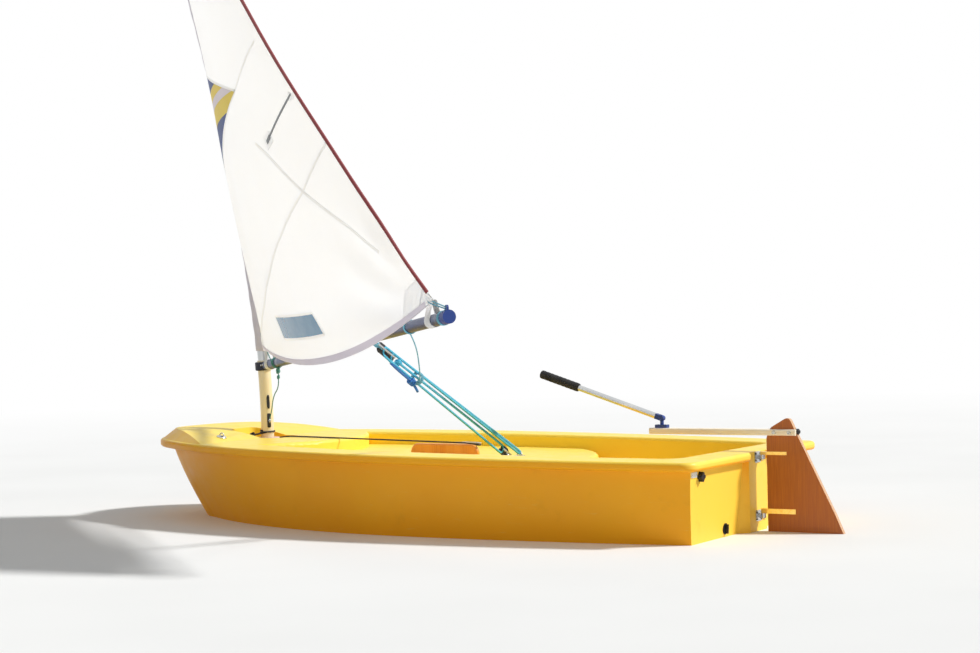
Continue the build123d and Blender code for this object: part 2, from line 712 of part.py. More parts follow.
fork_y = JOINT_W / 2 + JOINT_SIDE_CLEAR
with BuildPart() as extension_fork:
    for side in (1, -1):
        with BuildSketch(Plane(origin=joint_spot, x_dir=ext_way, z_dir=(0, side, 0)).offset(fork_y)):
            Circle(EXT_R - EXT_WALL)
            Rectangle(EXT_START, 2 * (EXT_R - EXT_WALL), align=(Align.MIN, Align.CENTER))
        extrude(amount=FORK_T)
    with BuildSketch(ext_plane(JOINT_R + JOINT_SIDE_CLEAR)):
        Rectangle(2 * (fork_y + FORK_T), 2 * (EXT_R - EXT_WALL))
    extrude(amount=EXT_START - JOINT_R - JOINT_SIDE_CLEAR)
    with BuildSketch(ext_plane(EXT_START)):
        Circle(EXT_R - EXT_WALL)
    extrude(amount=EXT_PLUG_LEN)
    with Locations(Location((JOINT_X, 0, JOINT_Z), (90, 0, 0))):
        Cylinder(JOINT_PIN_R, 2 * (fork_y + FORK_T))
save(extension_fork.part, "extension_fork")

with BuildPart() as extension_tube:
    with BuildSketch(ext_plane(EXT_START)):
        Circle(EXT_R)
        Circle(EXT_R - EXT_WALL, mode=Mode.SUBTRACT)
    extrude(amount=EXT_TUBE_LEN)
save(extension_tube.part, "extension_tube")

with BuildPart() as extension_grip:
    with BuildSketch(ext_plane(EXT_START + EXT_TUBE_LEN - GRIP_LEN + FORK_T)):
        Circle(GRIP_R)
    extrude(amount=GRIP_LEN)
    fillet(extension_grip.edges(), GRIP_ROUND)
    with BuildSketch(ext_plane(EXT_START + EXT_TUBE_LEN - GRIP_LEN)):
        Circle(EXT_R)
    extrude(amount=GRIP_LEN, mode=Mode.SUBTRACT)
save(extension_grip.part, "extension_grip")

# Daggerboard with a stop on each side
board_plane = Plane(origin=(BOARD_X, BOARD_T / 2, BOARD_TOP_Z), x_dir=(1, 0, 0), z_dir=(0, -1, 0))
with BuildPart() as daggerboard:
    with BuildSketch(board_plane) as board_side:
        with Locations((0, -BOARD_LEN / 2)):
            Rectangle(BOARD_CHORD, BOARD_LEN)
        fillet(board_side.vertices().group_by(Axis.Z)[0], BOARD_CORNER_R)
    extrude(amount=BOARD_T)
    fillet(daggerboard.edges().filter_by(Axis.Z), BOARD_EDGE_R)
save(daggerboard.part, "daggerboard")

for name, side in (("board_stop_port", -1), ("board_stop_starboard", 1)):
    with BuildPart() as stop:
        with Locations((BOARD_X, side * (BOARD_T + STOP_T) / 2, mouth_z + SEAT_GAP)):
            Box(STOP_LEN, STOP_T, STOP_H, align=UPWARD)
    save(stop.part, name)

# Fittings on the transom
with BuildPart() as label_plate:
    with BuildSketch(on_transom(LABEL_Y, LABEL_DEPTH)):
        RectangleRounded(LABEL_W, LABEL_H, LABEL_CORNER_R)
    extrude(amount=PLATE_T)
save(label_plate.part, "label_plate")

with BuildPart() as drain_bung:
    bung_plane = on_transom(BUNG_Y, BUNG_DEPTH)
    with BuildSketch(bung_plane):
        Circle(BUNG_R)
    extrude(amount=PLATE_T)
    with BuildSketch(bung_plane.offset(PLATE_T)):
        Rectangle(BUNG_GRIP_W, 2 * BUNG_R - BUNG_GRIP_W)
    extrude(amount=BUNG_GRIP_H)
save(drain_bung.part, "drain_bung")

with BuildPart() as transom_knob:
    knob_plane = on_transom(KNOB_Y, KNOB_DEPTH)
    with BuildSketch(knob_plane):
        Circle(KNOB_CORE_R)
        with PolarLocations(KNOB_LOBE_AT_R, KNOB_LOBES):
            Circle(KNOB_LOBE_R)
    extrude(amount=KNOB_H)
save(transom_knob.part, "transom_knob")
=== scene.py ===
"""Small sailing dinghy under sail: finishes, sail, ropes and fittings round the built frame. Metres."""
import functools
import math

import bmesh
import bpy
from mathutils import Matrix, Vector


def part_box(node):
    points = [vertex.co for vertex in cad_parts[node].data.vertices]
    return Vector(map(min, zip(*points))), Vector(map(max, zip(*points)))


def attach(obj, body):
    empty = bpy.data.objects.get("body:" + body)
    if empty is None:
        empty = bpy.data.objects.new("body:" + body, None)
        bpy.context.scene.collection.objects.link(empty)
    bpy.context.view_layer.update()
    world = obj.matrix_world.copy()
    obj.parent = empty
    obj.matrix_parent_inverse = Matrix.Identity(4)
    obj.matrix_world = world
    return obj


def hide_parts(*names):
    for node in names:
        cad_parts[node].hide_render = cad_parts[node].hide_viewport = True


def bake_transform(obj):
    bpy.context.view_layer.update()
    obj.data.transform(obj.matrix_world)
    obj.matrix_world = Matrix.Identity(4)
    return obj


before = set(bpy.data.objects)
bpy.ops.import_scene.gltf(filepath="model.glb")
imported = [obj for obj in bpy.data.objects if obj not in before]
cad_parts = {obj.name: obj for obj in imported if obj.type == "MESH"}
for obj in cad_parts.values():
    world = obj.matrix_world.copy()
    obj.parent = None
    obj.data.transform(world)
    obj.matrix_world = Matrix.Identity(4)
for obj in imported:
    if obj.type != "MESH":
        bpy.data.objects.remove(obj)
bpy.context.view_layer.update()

# Photograph's viewpoint
PHOTO_W = 980
CAMERA_PLACE = Vector((3.716, -6.005, 0.722))
CAMERA_AIM = Vector((-0.508, 0.861, -0.011))
CAMERA_UP = Vector((0.014, 0.021, 1.0))
CAMERA_FOCAL_PX = 2100
SENSOR_W = 36

# Light
SUN_WAY = Vector((0.68, 0.38, 0.7))
SUN_ANGLE = math.radians(7)
SUN_STRENGTH = 3.3
SKY_COLOUR = (0.96, 0.98, 1.0, 1.0)
SKY_STRENGTH = 0.34
WHITE = (1.0, 1.0, 1.0, 1.0)
PAPER_NEAR = 3.0
PAPER_FAR = 9.0

# Mast and boom, as the frame has them
MAST_X = -0.752
MAST_R = 0.0225
MAST_BEND_Z = 0.285
MAST_BEND_R = 3.5
MAST_BEND_LEN = 0.42
TOP_BEND_R = 9.0
MAST_LEN = 2.01
BOOM_ANGLE = 38.2
BOOM_R = 0.0175
BOOM_LEN = 1.925
BOOM_RISE = 0.171
BOOM_BEND_LEN = 0.234
CLEW_AT = 1.795
CLEW_H = 0.05
STROP_AT = 1.215
STROP_LEN = 0.066
BLOCK_LEN = 0.1
LOWER_BLOCK_LEN = 0.058
BLOCK_W = 0.034

# Deck, recess and fittings
DECK_Z = 0.26
SHEER_SLOPE = 0.012
DECK_DROP = 0.045
FOOT_Z = 0.255
SHEET_EYE_X = 0.222
EYE_TOP = 0.0151
HOOK_EYE_X = -0.822
GUDGEON_FACE = 1.1242

# Sail rows: luff height, leech height, chord, bearing, belly, drop of the belly, its lean aft
SAIL_ROWS = (
    (0.592, 0.735, 1.855, 38.2, 0.100, 0.120, 0.5),
    (0.800, 0.880, 1.737, 39.6, 0.146, 0.020, 0.2),
    (1.100, 1.160, 1.495, 41.8, 0.137, 0.005, 0.0),
    (1.450, 1.490, 1.157, 44.1, 0.092, 0.0, 0.0),
    (1.800, 1.825, 0.752, 45.0, 0.059, 0.0, 0.0),
    (2.100, 2.110, 0.385, 46.0, 0.030, 0.0, 0.0),
    (2.250, 2.254, 0.090, 46.5, 0.006, 0.0, 0.0),
)
SAIL_FOOT = 0.592
SAIL_HEAD = 2.25
CLOTH_T = 0.0008
CLOTH_SQUARE = 0.013
SLEEVE_R = 0.0214
SLEEVE_TAIL = 0.052
SLEEVE_FOOT_LEN = 0.288

# Folds in the sail: depth, and where the fan of folds from the clew is deepest
LUFF_FOLD = 0.0016
FAN_FOLD = 0.0042
FAN_MIDDLE = (1.86, 0.585)
FAN_REACH = 0.34
FAN_WIDTH = 0.14

WELD = 0.00001
TINY = 1e-9
UP = Vector((0, 0, 1))
AFT = Vector((1, 0, 0))
STARBOARD = Vector((0, 1, 0))
BEARING = math.radians(BOOM_ANGLE)
BOOM_WAY = Vector((math.cos(BEARING), -math.sin(BEARING), 0))
LEE_WAY = Vector((-math.sin(BEARING), -math.cos(BEARING), 0))


# Places on the boat
def mast_point(length):
    """Point on the mast's axis at a length along it above the bend's start."""
    low = min(length, MAST_BEND_LEN) / MAST_BEND_R
    off = MAST_BEND_R * (1 - math.cos(low))
    z = MAST_BEND_Z + MAST_BEND_R * math.sin(low)
    if length > MAST_BEND_LEN:
        high = low + (length - MAST_BEND_LEN) / TOP_BEND_R
        off += TOP_BEND_R * (math.cos(low) - math.cos(high))
        z += TOP_BEND_R * (math.sin(high) - math.sin(low))
    return Vector((MAST_X, 0, z)) + LEE_WAY * off


def mast_at(z):
    """Point on the mast's axis at a height."""
    length = z - MAST_BEND_Z
    for _ in range(6):
        length += z - mast_point(length).z
    return mast_point(length)


def mast_way(length):
    return (mast_point(length + 0.01) - mast_point(length - 0.01)).normalized()


BOOM_FOOT = mast_point(BOOM_BEND_LEN)
BOOM_AXIS = (BOOM_WAY * BOOM_LEN + UP * BOOM_RISE).normalized()
BOOM_SIDE = UP.cross(BOOM_AXIS).normalized()
BOOM_TOP = BOOM_AXIS.cross(BOOM_SIDE)


def on_boom(length, side=0.0, top=0.0):
    """Point by the boom: along it, to starboard of it and above it."""
    return BOOM_FOOT + BOOM_AXIS * length + BOOM_SIDE * side + BOOM_TOP * top


def deck_z(x, drop=0.0):
    return DECK_Z - SHEER_SLOPE * x - drop


def stand(origin, z_way, x_way):
    """Matrix that puts a piece at a place with its z along one way and its x near another."""
    z = Vector(z_way).normalized()
    y = z.cross(Vector(x_way)).normalized()
    turn = Matrix((y.cross(z), y, z)).transposed()
    return Matrix.Translation(Vector(origin)) @ turn.to_4x4()


# Sail surface
def sail_row(z):
    """Leech height, chord, bearing, belly, drop and lean at a height of the luff, smooth between the rows."""
    last = len(SAIL_ROWS) - 1
    i = max(k for k in range(last) if k == 0 or SAIL_ROWS[k][0] <= z)
    a, b = SAIL_ROWS[i], SAIL_ROWS[i + 1]
    before, after = SAIL_ROWS[max(i - 1, 0)], SAIL_ROWS[min(i + 2, last)]
    gap = b[0] - a[0]
    t = (z - a[0]) / gap
    row = []
    for k in range(1, len(a)):
        slope_a = (b[k] - before[k]) / (b[0] - before[0]) * gap
        slope_b = (after[k] - a[k]) / (after[0] - a[0]) * gap
        lift = (2 * t**3 - 3 * t**2 + 1) * a[k] + (3 * t**2 - 2 * t**3) * b[k]
        row.append(lift + (t**3 - 2 * t**2 + t) * slope_a + (t**3 - t**2) * slope_b)
    return row


def sail_ends(z):
    """Luff and leech points, and the row, at a height of the luff."""
    row = sail_row(z)
    turn = math.radians(row[2])
    leech = mast_at(row[0]) + Vector((math.cos(turn), -math.sin(turn), 0)) * row[1]
    return mast_at(z), leech, row


def sail_span(z):
    luff, leech, row = sail_ends(z)
    return (leech - luff).length


def sail_point(s, z):
    """Point on the sail at a distance from the luff and a height of the luff."""
    luff, leech, row = sail_ends(z)
    chord = leech - luff
    u = s / chord.length
    turn = math.radians(row[2])
    arch = 4 * u * (1 - u)
    lee = Vector((-math.sin(turn), -math.cos(turn), 0)) * row[3]
    return luff + chord * u + (lee - UP * row[4] * (1 + row[5] * (2 * u - 1))) * arch


def sail_crease(s, z):
    """Height of the small folds: across the luff, and fanning out of the clew."""
    luff_fold = LUFF_FOLD * math.sin(z * 74) * math.exp(-abs(s - SLEEVE_TAIL) / 0.06)
    aft, rise = FAN_MIDDLE[0] - s, z - FAN_MIDDLE[1]
    fan = math.sin(math.atan2(rise, max(aft, 0.001)) * 17)
    return luff_fold + FAN_FOLD * fan * math.exp(-((math.hypot(aft, rise) - FAN_REACH) / FAN_WIDTH) ** 2)


def on_sail(s, z, lift):
    """Point off the sail's surface, to leeward where the lift is positive."""
    step = 0.004
    along = sail_point(s + step, z) - sail_point(s - step, z)
    rise = sail_point(s, z + step) - sail_point(s, z - step)
    return sail_point(s, z) + along.cross(rise).normalized() * (lift + sail_crease(s, z))


# Modelling
def set_down():
    """Leaves edit mode and selects nothing."""
    if bpy.context.object and bpy.context.object.mode != "OBJECT":
        bpy.ops.object.mode_set(mode="OBJECT")
    bpy.ops.object.select_all(action="DESELECT")


def take(*pieces):
    """Selects these pieces alone."""
    set_down()
    for piece in pieces:
        piece.select_set(True)
    bpy.context.view_layer.objects.active = pieces[0]


def pick(piece, kind="FACE", wanted=None):
    """Opens a piece in edit mode with the wanted faces, edges or corners selected, or with all of them."""
    take(piece)
    bpy.ops.object.mode_set(mode="EDIT")
    bpy.ops.mesh.select_mode(type=kind)
    bpy.ops.mesh.select_all(action="DESELECT")
    mesh = bmesh.from_edit_mesh(piece.data)
    for part in {"FACE": mesh.faces, "EDGE": mesh.edges, "VERT": mesh.verts}[kind]:
        if wanted is None or wanted(part):
            part.select_set(True)
    mesh.select_flush_mode()
    bmesh.update_edit_mesh(piece.data)


def facing(*way):
    """Test for faces that look along a way."""
    return lambda face: face.normal.dot(Vector(way)) > 0.9


def extrude(*step):
    bpy.ops.mesh.extrude_region_move(TRANSFORM_OT_translate={"value": step})


def modify(piece, kind, **settings):
    """Adds a modifier and applies it."""
    take(piece)
    added = piece.modifiers.new(kind.title(), kind)
    for name, value in settings.items():
        setattr(added, name, value)
    bpy.ops.object.modifier_apply(modifier=added.name)


def round_edges(piece, width, angle=30):
    modify(piece, "BEVEL", width=width, segments=2, angle_limit=math.radians(angle))


def drum(radius, height, sides):
    """Round blank about z."""
    set_down()
    bpy.ops.mesh.primitive_cylinder_add(vertices=sides, radius=radius, depth=height)
    return bpy.context.object


def slab(x, y, z, middle=(0, 0, 0)):
    """Box blank."""
    set_down()
    bpy.ops.mesh.primitive_cube_add(size=1, location=middle)
    bpy.context.object.scale = (x, y, z)
    bpy.ops.object.transform_apply(location=True, rotation=False, scale=True)
    return bpy.context.object


def wire_ring(radius, wire, middle, segments=28, sides=10, lean=0.0):
    """Ring of wire that stands on edge, leaned from the y axis."""
    set_down()
    bpy.ops.mesh.primitive_torus_add(
        major_radius=radius, minor_radius=wire, major_segments=segments, minor_segments=sides,
        location=middle)
    bpy.context.object.rotation_euler = (math.pi / 2, lean, 0)
    return bpy.context.object


def cut_ring(ring, height, way, **cleared):
    """Cuts a ring of wire across and closes its ends."""
    take(ring)
    bpy.ops.object.transform_apply(rotation=True, location=True)
    pick(ring)
    bpy.ops.mesh.bisect(plane_co=(0, 0, height), plane_no=way, use_fill=True, **cleared)
    set_down()
    return ring


def turned(profile, sides=40):
    """Shape turned about z from its radii and heights: an edge extruded along the profile, then spun."""
    set_down()
    bpy.ops.mesh.primitive_circle_add(vertices=3, radius=profile[0][0], location=(0, 0, profile[0][1]))
    piece = bpy.context.object
    pick(piece, "VERT", lambda corner: corner.index > 0)
    bpy.ops.mesh.delete(type="VERT")
    mesh = bmesh.from_edit_mesh(piece.data)
    mesh.verts.ensure_lookup_table()
    mesh.verts[0].co = (profile[0][0], 0, 0)
    mesh.verts[0].select_set(True)
    bmesh.update_edit_mesh(piece.data)
    for (radius, height), (next_radius, next_height) in zip(profile, profile[1:]):
        extrude(next_radius - radius, 0, next_height - height)
    bpy.ops.mesh.select_all(action="SELECT")
    bpy.ops.mesh.spin(steps=sides, angle=2 * math.pi, center=(0, 0, 0), axis=(0, 0, 1))
    bpy.ops.mesh.select_all(action="SELECT")
    bpy.ops.mesh.remove_doubles(threshold=WELD)
    bpy.ops.mesh.normals_make_consistent(inside=False)
    set_down()
    return piece


def join(*pieces):
    """Joins pieces into the first one, which keeps its origin."""
    take(*pieces)
    if len(pieces) > 1:
        bpy.ops.object.join()
    return bpy.context.object


def copy_at(piece, places):
    """Copies of a piece, each with its own mesh, at the places, joined into one."""
    made = []
    for place in places:
        take(piece)
        bpy.ops.object.duplicate()
        bpy.context.object.matrix_world = place
        made.append(bpy.context.object)
    bpy.data.objects.remove(piece)
    return join(*made)


def coat(piece, finish):
    """Gives all of a piece one finish."""
    piece.data.materials.clear()
    piece.data.materials.append(finish)
    return piece


def settle(piece, name, body, smooth=40):
    """Names a piece, puts its place in its mesh and has it ride on a body."""
    take(piece)
    bpy.ops.object.transform_apply(location=True, rotation=True, scale=True)
    bpy.ops.object.shade_smooth_by_angle(angle=math.radians(smooth))
    piece.name = name
    piece.data.name = name
    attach(piece, body)
    return piece


ROPE_SIDES = 3


def rope(name, points, radius, finish, body=None):
    """Rope along a smooth line through near its points, with its length and turn kept for the braid."""
    data = bpy.data.curves.new(name, "CURVE")
    data.dimensions = "3D"
    line = data.splines.new("NURBS")
    line.points.add(len(points) - 1)
    for spot, point in zip(line.points, points):
        spot.co = (*point, 1)
    line.order_u = min(3, len(points))
    line.use_endpoint_u = True
    line.resolution_u = 6
    data.bevel_depth = radius
    data.bevel_resolution = ROPE_SIDES
    piece = bpy.data.objects.new(name, data)
    bpy.context.collection.objects.link(piece)
    take(piece)
    bpy.ops.object.convert(target="MESH")
    around = 4 + 2 * ROPE_SIDES
    corners = piece.data.vertices
    rings = [corners[i:i + around] for i in range(0, len(corners), around)]
    middles = [sum((corner.co for corner in ring), Vector()) / around for ring in rings]
    along = [0.0]
    for a, b in zip(middles, middles[1:]):
        along.append(along[-1] + (b - a).length)
    length = piece.data.attributes.new("rope_length", "FLOAT", "POINT")
    turn = piece.data.attributes.new("rope_turn", "FLOAT", "POINT")
    for i, corner in enumerate(corners):
        length.data[i].value = along[i // around]
        turn.data[i].value = abs(i % around / around * 2 - 1)
    pick(piece)
    bpy.ops.mesh.fill_holes(sides=0)
    set_down()
    coat(piece, finish)
    piece.data.name = name
    for face in piece.data.polygons:
        face.use_smooth = True
    if body:
        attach(piece, body)
    return piece


# Finishes. A texture's scale is MM over its real period in millimetres
MM = 1000
# Way of the painted sunlight on the hull: faces turned along it are painted a paler yellow
PAINTED_SUN_WAY = (0.6, 0.0, 0.8)
RGB = {"outlet": 2, "data_type": "RGBA"}
TIMES = {"operation": "MULTIPLY"}
SINE = {"operation": "SINE"}
DOT = {"outlet": "Value", "operation": "DOT_PRODUCT"}


def colour(code):
    """sRGB hex code as a linear colour."""
    parts = [int(code[i:i + 2], 16) / 255 for i in (1, 3, 5)]
    return [p / 12.92 if p <= 0.04045 else ((p + 0.055) / 1.055) ** 2.4 for p in parts] + [1.0]


def connect(node, feeds):
    """Links or sets a node's sockets."""
    for socket, source in feeds.items():
        if isinstance(source, bpy.types.NodeSocket):
            node.id_data.links.new(source, node.inputs[socket])
        else:
            node.inputs[socket].default_value = source


def add_node(tree, kind, feeds, outlet=0, **settings):
    """Adds a node with its settings and links, and gives one of its outputs."""
    made = tree.nodes.new("ShaderNode" + kind)
    for name, value in settings.items():
        setattr(made, name, value)
    connect(made, feeds)
    return made.outputs[outlet]


def start_finish(name):
    """New material with the function that adds its nodes, its shader, and its Object coordinates."""
    finish = bpy.data.materials.new(name)
    finish.use_nodes = True
    add = functools.partial(add_node, finish.node_tree)
    return finish, add, finish.node_tree.nodes["Principled BSDF"], add("TexCoord", {}, "Object")


def mottled(add, place, base, code, period_mm, low, high, share=1.0, detail=3, roughness=0.5):
    """Colour with clouds of another one, as strong as a share, that rise between two levels."""
    feeds = {"Vector": place, "Scale": MM / period_mm, "Detail": detail, "Roughness": roughness}
    cloud = add("TexNoise", feeds)
    rise = add("MapRange", {"Value": cloud, 1: low, 2: high, 4: share})
    return add("Mix", {0: rise, 6: base, 7: colour(code)}, **RGB)


def moulded_plastic(name, code, roughness, skin_mm=1.2, depth_mm=0.05, wear=0.12):
    """Moulded plastic: soft uneven sheen, faint pale scuffs, and a fine skin drawn coarser to show."""
    finish, add, shader, place = start_finish(name)
    drawn = add("Mapping", {"Vector": place, "Scale": (1, 2.5, 4)})
    tint = mottled(add, drawn, colour(code), "#FFFFFF", 14, 0.6, 0.75, wear, 6, 0.7)
    clouds = add("TexNoise", {"Vector": place, "Scale": MM / 60, "Detail": 4})
    sheen = add("MapRange", {"Value": clouds, 1: 0.3, 2: 0.7, 3: roughness - 0.06, 4: roughness + 0.08})
    skin = add("TexNoise", {"Vector": place, "Scale": MM / skin_mm, "Detail": 2})
    relief = add("Bump", {"Height": skin, "Distance": depth_mm / MM})
    connect(shader, {"Base Color": tint, "Roughness": sheen, "Normal": relief})
    return finish


def polyethylene_hull():
    """Rotomoulded polyethylene: golden sides, inward faces painted lighter as painted bounce light, faces
    turned up and aft towards the sun painted paler as painted sunlight, orange peel, scuffs.
    """
    finish, add, shader, place = start_finish("rotomoulded_polyethylene")
    sides = mottled(add, place, colour("#FBAC0A"), "#FFB510", 320, 0.3, 0.7)
    # Painted bounce light: faces that turn inward, such as the cockpit's walls, are painted a lighter yellow.
    normal = add("NewGeometry", {}, "Normal")
    outward = add("VectorMath", {0: normal, 1: place}, **DOT)
    inside = add("MapRange", {"Value": outward, 1: 0.0, 2: -0.2})
    sides = add("Mix", {0: inside, 6: sides, 7: colour("#FFDA3A")}, **RGB)
    # Painted sunlight: faces turned towards the sun, the tops and the stern, are painted a paler yellow.
    sunward = add("VectorMath", {0: normal, 1: PAINTED_SUN_WAY}, **DOT)
    painted_sun = add("MapRange", {"Value": sunward, 1: 0.22, 2: 0.72})
    base = add("Mix", {0: painted_sun, 6: sides, 7: colour("#FDDD58")}, **RGB)
    drawn = add("Mapping", {"Vector": place, "Scale": (0.35, 1, 2.6)})
    scuffed = mottled(add, drawn, base, "#FBDD80", 26, 0.61, 0.72, 0.3, 8, 0.72)
    grimy = mottled(add, place, scuffed, "#C98A1C", 90, 0.6, 0.8, 0.22, 7, 0.65)
    gloss = add("TexNoise", {"Vector": place, "Scale": MM / 45, "Detail": 5})
    sheen = add("MapRange", {"Value": gloss, 1: 0.3, 2: 0.7, 3: 0.36, 4: 0.5})
    skin = add("TexNoise", {"Vector": place, "Scale": MM / 6, "Detail": 1})
    peel = add("Bump", {"Height": skin, "Distance": 0.06 / MM})
    swell = add("TexNoise", {"Vector": place, "Scale": MM / 260, "Detail": 2})
    relief = add("Bump", {"Height": swell, "Distance": 2.2 / MM, "Normal": peel})
    connect(shader, {"Base Color": grimy, "Roughness": sheen, "Normal": relief, "Specular IOR Level": 0.3})
    return finish


def anodised_tube(name, code, roughness, metallic=1.0):
    """Drawn and anodised aluminium tube: satin, with drawing lines along it and faint rubbed patches."""
    finish, add, shader, place = start_finish(name)
    tint = mottled(add, place, colour(code), "#F4F0E6", 70, 0.55, 0.75, 0.35, 6, 0.6)
    drawn = add("Mapping", {"Vector": place, "Scale": (1, 1, 0.04)})
    lines = add("TexNoise", {"Vector": drawn, "Scale": MM / 2.2, "Detail": 3})
    sheen = add("MapRange", {"Value": lines, 1: 0.3, 2: 0.7, 3: roughness - 0.05, 4: roughness + 0.1})
    relief = add("Bump", {"Height": lines, "Distance": 0.02 / MM})
    connect(shader, {"Base Color": tint, "Roughness": sheen, "Normal": relief, "Metallic": metallic})
    return finish


def worked_metal(name, code, roughness, tarnish):
    """Pressed or cast metal fitting: polished once, with fine scratches and tarnish in patches."""
    finish, add, shader, place = start_finish(name)
    clouds = add("TexNoise", {"Vector": place, "Scale": MM / 7, "Detail": 6, "Roughness": 0.6})
    dull = add("MapRange", {"Value": clouds, 1: 0.45, 2: 0.7})
    tint = add("Mix", {0: dull, 6: colour(code), 7: colour(tarnish)}, **RGB)
    sheen = add("MapRange", {"Value": dull, 3: roughness, 4: roughness + 0.22})
    drawn = add("Mapping", {"Vector": place, "Scale": (1, 1, 6)})
    scratches = add("TexNoise", {"Vector": drawn, "Scale": MM / 3, "Detail": 4})
    relief = add("Bump", {"Height": scratches, "Distance": 0.03 / MM})
    connect(shader, {"Base Color": tint, "Roughness": sheen, "Normal": relief, "Metallic": 1.0})
    return finish


def varnished_wood(name, pale, middle, dark, grain_axis, grain_mm, ring_mm, varnish=0.5):
    """Planed and varnished wood: long grain with darker bands, fine pores, and a clear coat over it."""
    finish, add, shader, place = start_finish(name)
    along = [0.035 if axis == grain_axis else 1.0 for axis in "xyz"]
    drawn = add("Mapping", {"Vector": place, "Scale": along})
    banded = mottled(add, drawn, colour(dark), middle, ring_mm, 0.32, 0.68, roughness=0.6)
    grain = add("TexNoise", {"Vector": drawn, "Scale": MM / grain_mm, "Detail": 5, "Roughness": 0.65})
    fibres = add("MapRange", {"Value": grain, 1: 0.42, 2: 0.72, 4: 0.7})
    base = add("Mix", {0: fibres, 6: banded, 7: colour(pale)}, **RGB)
    base = mottled(add, drawn, base, dark, 120, 0.5, 0.75, 0.35)
    sheen = add("MapRange", {"Value": grain, 1: 0.3, 2: 0.7, 3: 0.32, 4: 0.5})
    relief = add("Bump", {"Height": grain, "Distance": 0.12 / MM})
    connect(shader, {"Base Color": base, "Roughness": sheen, "Normal": relief,
                     "Coat Weight": varnish, "Coat Roughness": 0.16})
    return finish, add, shader, place, base


def mahogany_plywood():
    """Marine plywood, varnished: red-brown upright grain, and plies 3.2 mm a pair on its sawn edges."""
    finish, add, shader, place, faces = varnished_wood(
        "mahogany_plywood", "#C66F14", "#B8600A", "#A25206", "z", 3.0, 60, 0.15)
    across = add("SeparateXYZ", {0: place}, "Y")
    ply = add("Math", {0: across, 1: 2 * math.pi * MM / 3.2}, **TIMES)
    plies = add("MapRange", {"Value": add("Math", {0: ply}, **SINE), 1: -0.3, 2: 0.3})
    ends = add("Mix", {0: plies, 6: colour("#E6BE92"), 7: colour("#B47A48")}, **RGB)
    sideways = add("SeparateXYZ", {0: add("NewGeometry", {}, "True Normal")}, "Y")
    side = add("MapRange", {"Value": add("Math", {0: sideways}, operation="ABSOLUTE"), 1: 0.45, 2: 0.6})
    connect(shader, {"Base Color": add("Mix", {0: side, 6: ends, 7: faces}, **RGB)})
    return finish


def braided_rope(name, code, fleck, strand_mm):
    """Braided rope: crossing strands with a fleck in some of them, drawn coarser than real ones to show."""
    finish, add, shader, place = start_finish(name)
    length = add("Attribute", {}, "Fac", attribute_name="rope_length")
    turn = add("Attribute", {}, "Fac", attribute_name="rope_turn")
    steps = add("Math", {0: length, 1: 2 * math.pi * MM / strand_mm}, **TIMES)
    around = add("Math", {0: turn, 1: 3 * math.pi}, **TIMES)
    ways = [add("Math", {0: steps, 1: around}, operation=lean) for lean in ("ADD", "SUBTRACT")]
    waves = [add("Math", {0: way}, **SINE) for way in ways]
    strands = add("Math", {0: waves[0], 1: waves[1]}, **TIMES)
    raised = add("MapRange", {"Value": strands, 1: 0.1, 2: 0.7, 4: 0.8})
    base = add("Mix", {0: raised, 6: colour(code), 7: colour(fleck)}, **RGB)
    base = mottled(add, place, base, code, 30, 0.4, 0.7, 0.3)
    relief = add("Bump", {"Height": strands, "Distance": 0.5 / MM})
    connect(shader, {"Base Color": base, "Roughness": 0.75, "Normal": relief, "Sheen Weight": 0.15})
    return finish


def woven_cloth(name, code, shade, weave_mm, through):
    """Woven, resin-filled polyester: dull gloss, light that soaks through, a weave drawn coarser to show."""
    finish, add, shader, place = start_finish(name)
    cloth = add("UVMap", {}, uv_map="cloth")
    threads = []
    for axis in "XY":
        turns = {0: add("SeparateXYZ", {0: cloth}, axis), 1: 2 * math.pi * MM / weave_mm}
        threads.append(add("Math", {0: add("Math", turns, **TIMES)}, **SINE))
    weave = add("Math", {0: threads[0], 1: threads[1]}, **TIMES)
    long_way = add("Mapping", {"Vector": cloth, "Scale": (1, 0.35, 1)})
    base = mottled(add, long_way, colour(code), shade, 240, 0.35, 0.7, 0.5, 4)
    cross_way = add("Mapping", {"Vector": cloth, "Scale": (1, 0.5, 1)})
    wrinkles = add("TexNoise", {"Vector": cross_way, "Scale": MM / 130, "Detail": 4, "Roughness": 0.55})
    creased = add("Bump", {"Height": wrinkles, "Distance": 1.6 / MM})
    relief = add("Bump", {"Height": weave, "Distance": 0.04 / MM, "Normal": creased})
    connect(shader, {"Base Color": base, "Roughness": 0.55, "Normal": relief, "Sheen Weight": 0.05,
                     "Subsurface Weight": through, "Subsurface Radius": (1, 0.95, 0.88),
                     "Subsurface Scale": 0.012})
    return finish


def woven_webbing(name, code):
    """Flat woven webbing: ribs 2 mm apart across its width, matt, dirty in patches."""
    finish, add, shader, place = start_finish(name)
    ribs = add("TexWave", {"Vector": place, "Scale": MM / 2.0 / 6.28, "Distortion": 0.6}, 1,
               wave_type="BANDS", bands_direction="DIAGONAL")
    base = mottled(add, place, colour(code), "#A8A294", 20, 0.45, 0.75, 0.3, 5)
    relief = add("Bump", {"Height": ribs, "Distance": 0.25 / MM})
    connect(shader, {"Base Color": base, "Roughness": 0.85, "Normal": relief, "Sheen Weight": 0.2})
    return finish


def cut_foam(name, code):
    """Closed-cell foam: matt and slightly dusty, with cells drawn coarser than real ones to show."""
    finish, add, shader, place = start_finish(name)
    cells = add("TexVoronoi", {"Vector": place, "Scale": 0.7 * MM})
    base = mottled(add, place, colour(code), "#5A5A58", 25, 0.45, 0.75, 0.25, 5)
    relief = add("Bump", {"Height": cells, "Distance": 0.25 / MM})
    connect(shader, {"Base Color": base, "Roughness": 0.9, "Normal": relief})
    return finish


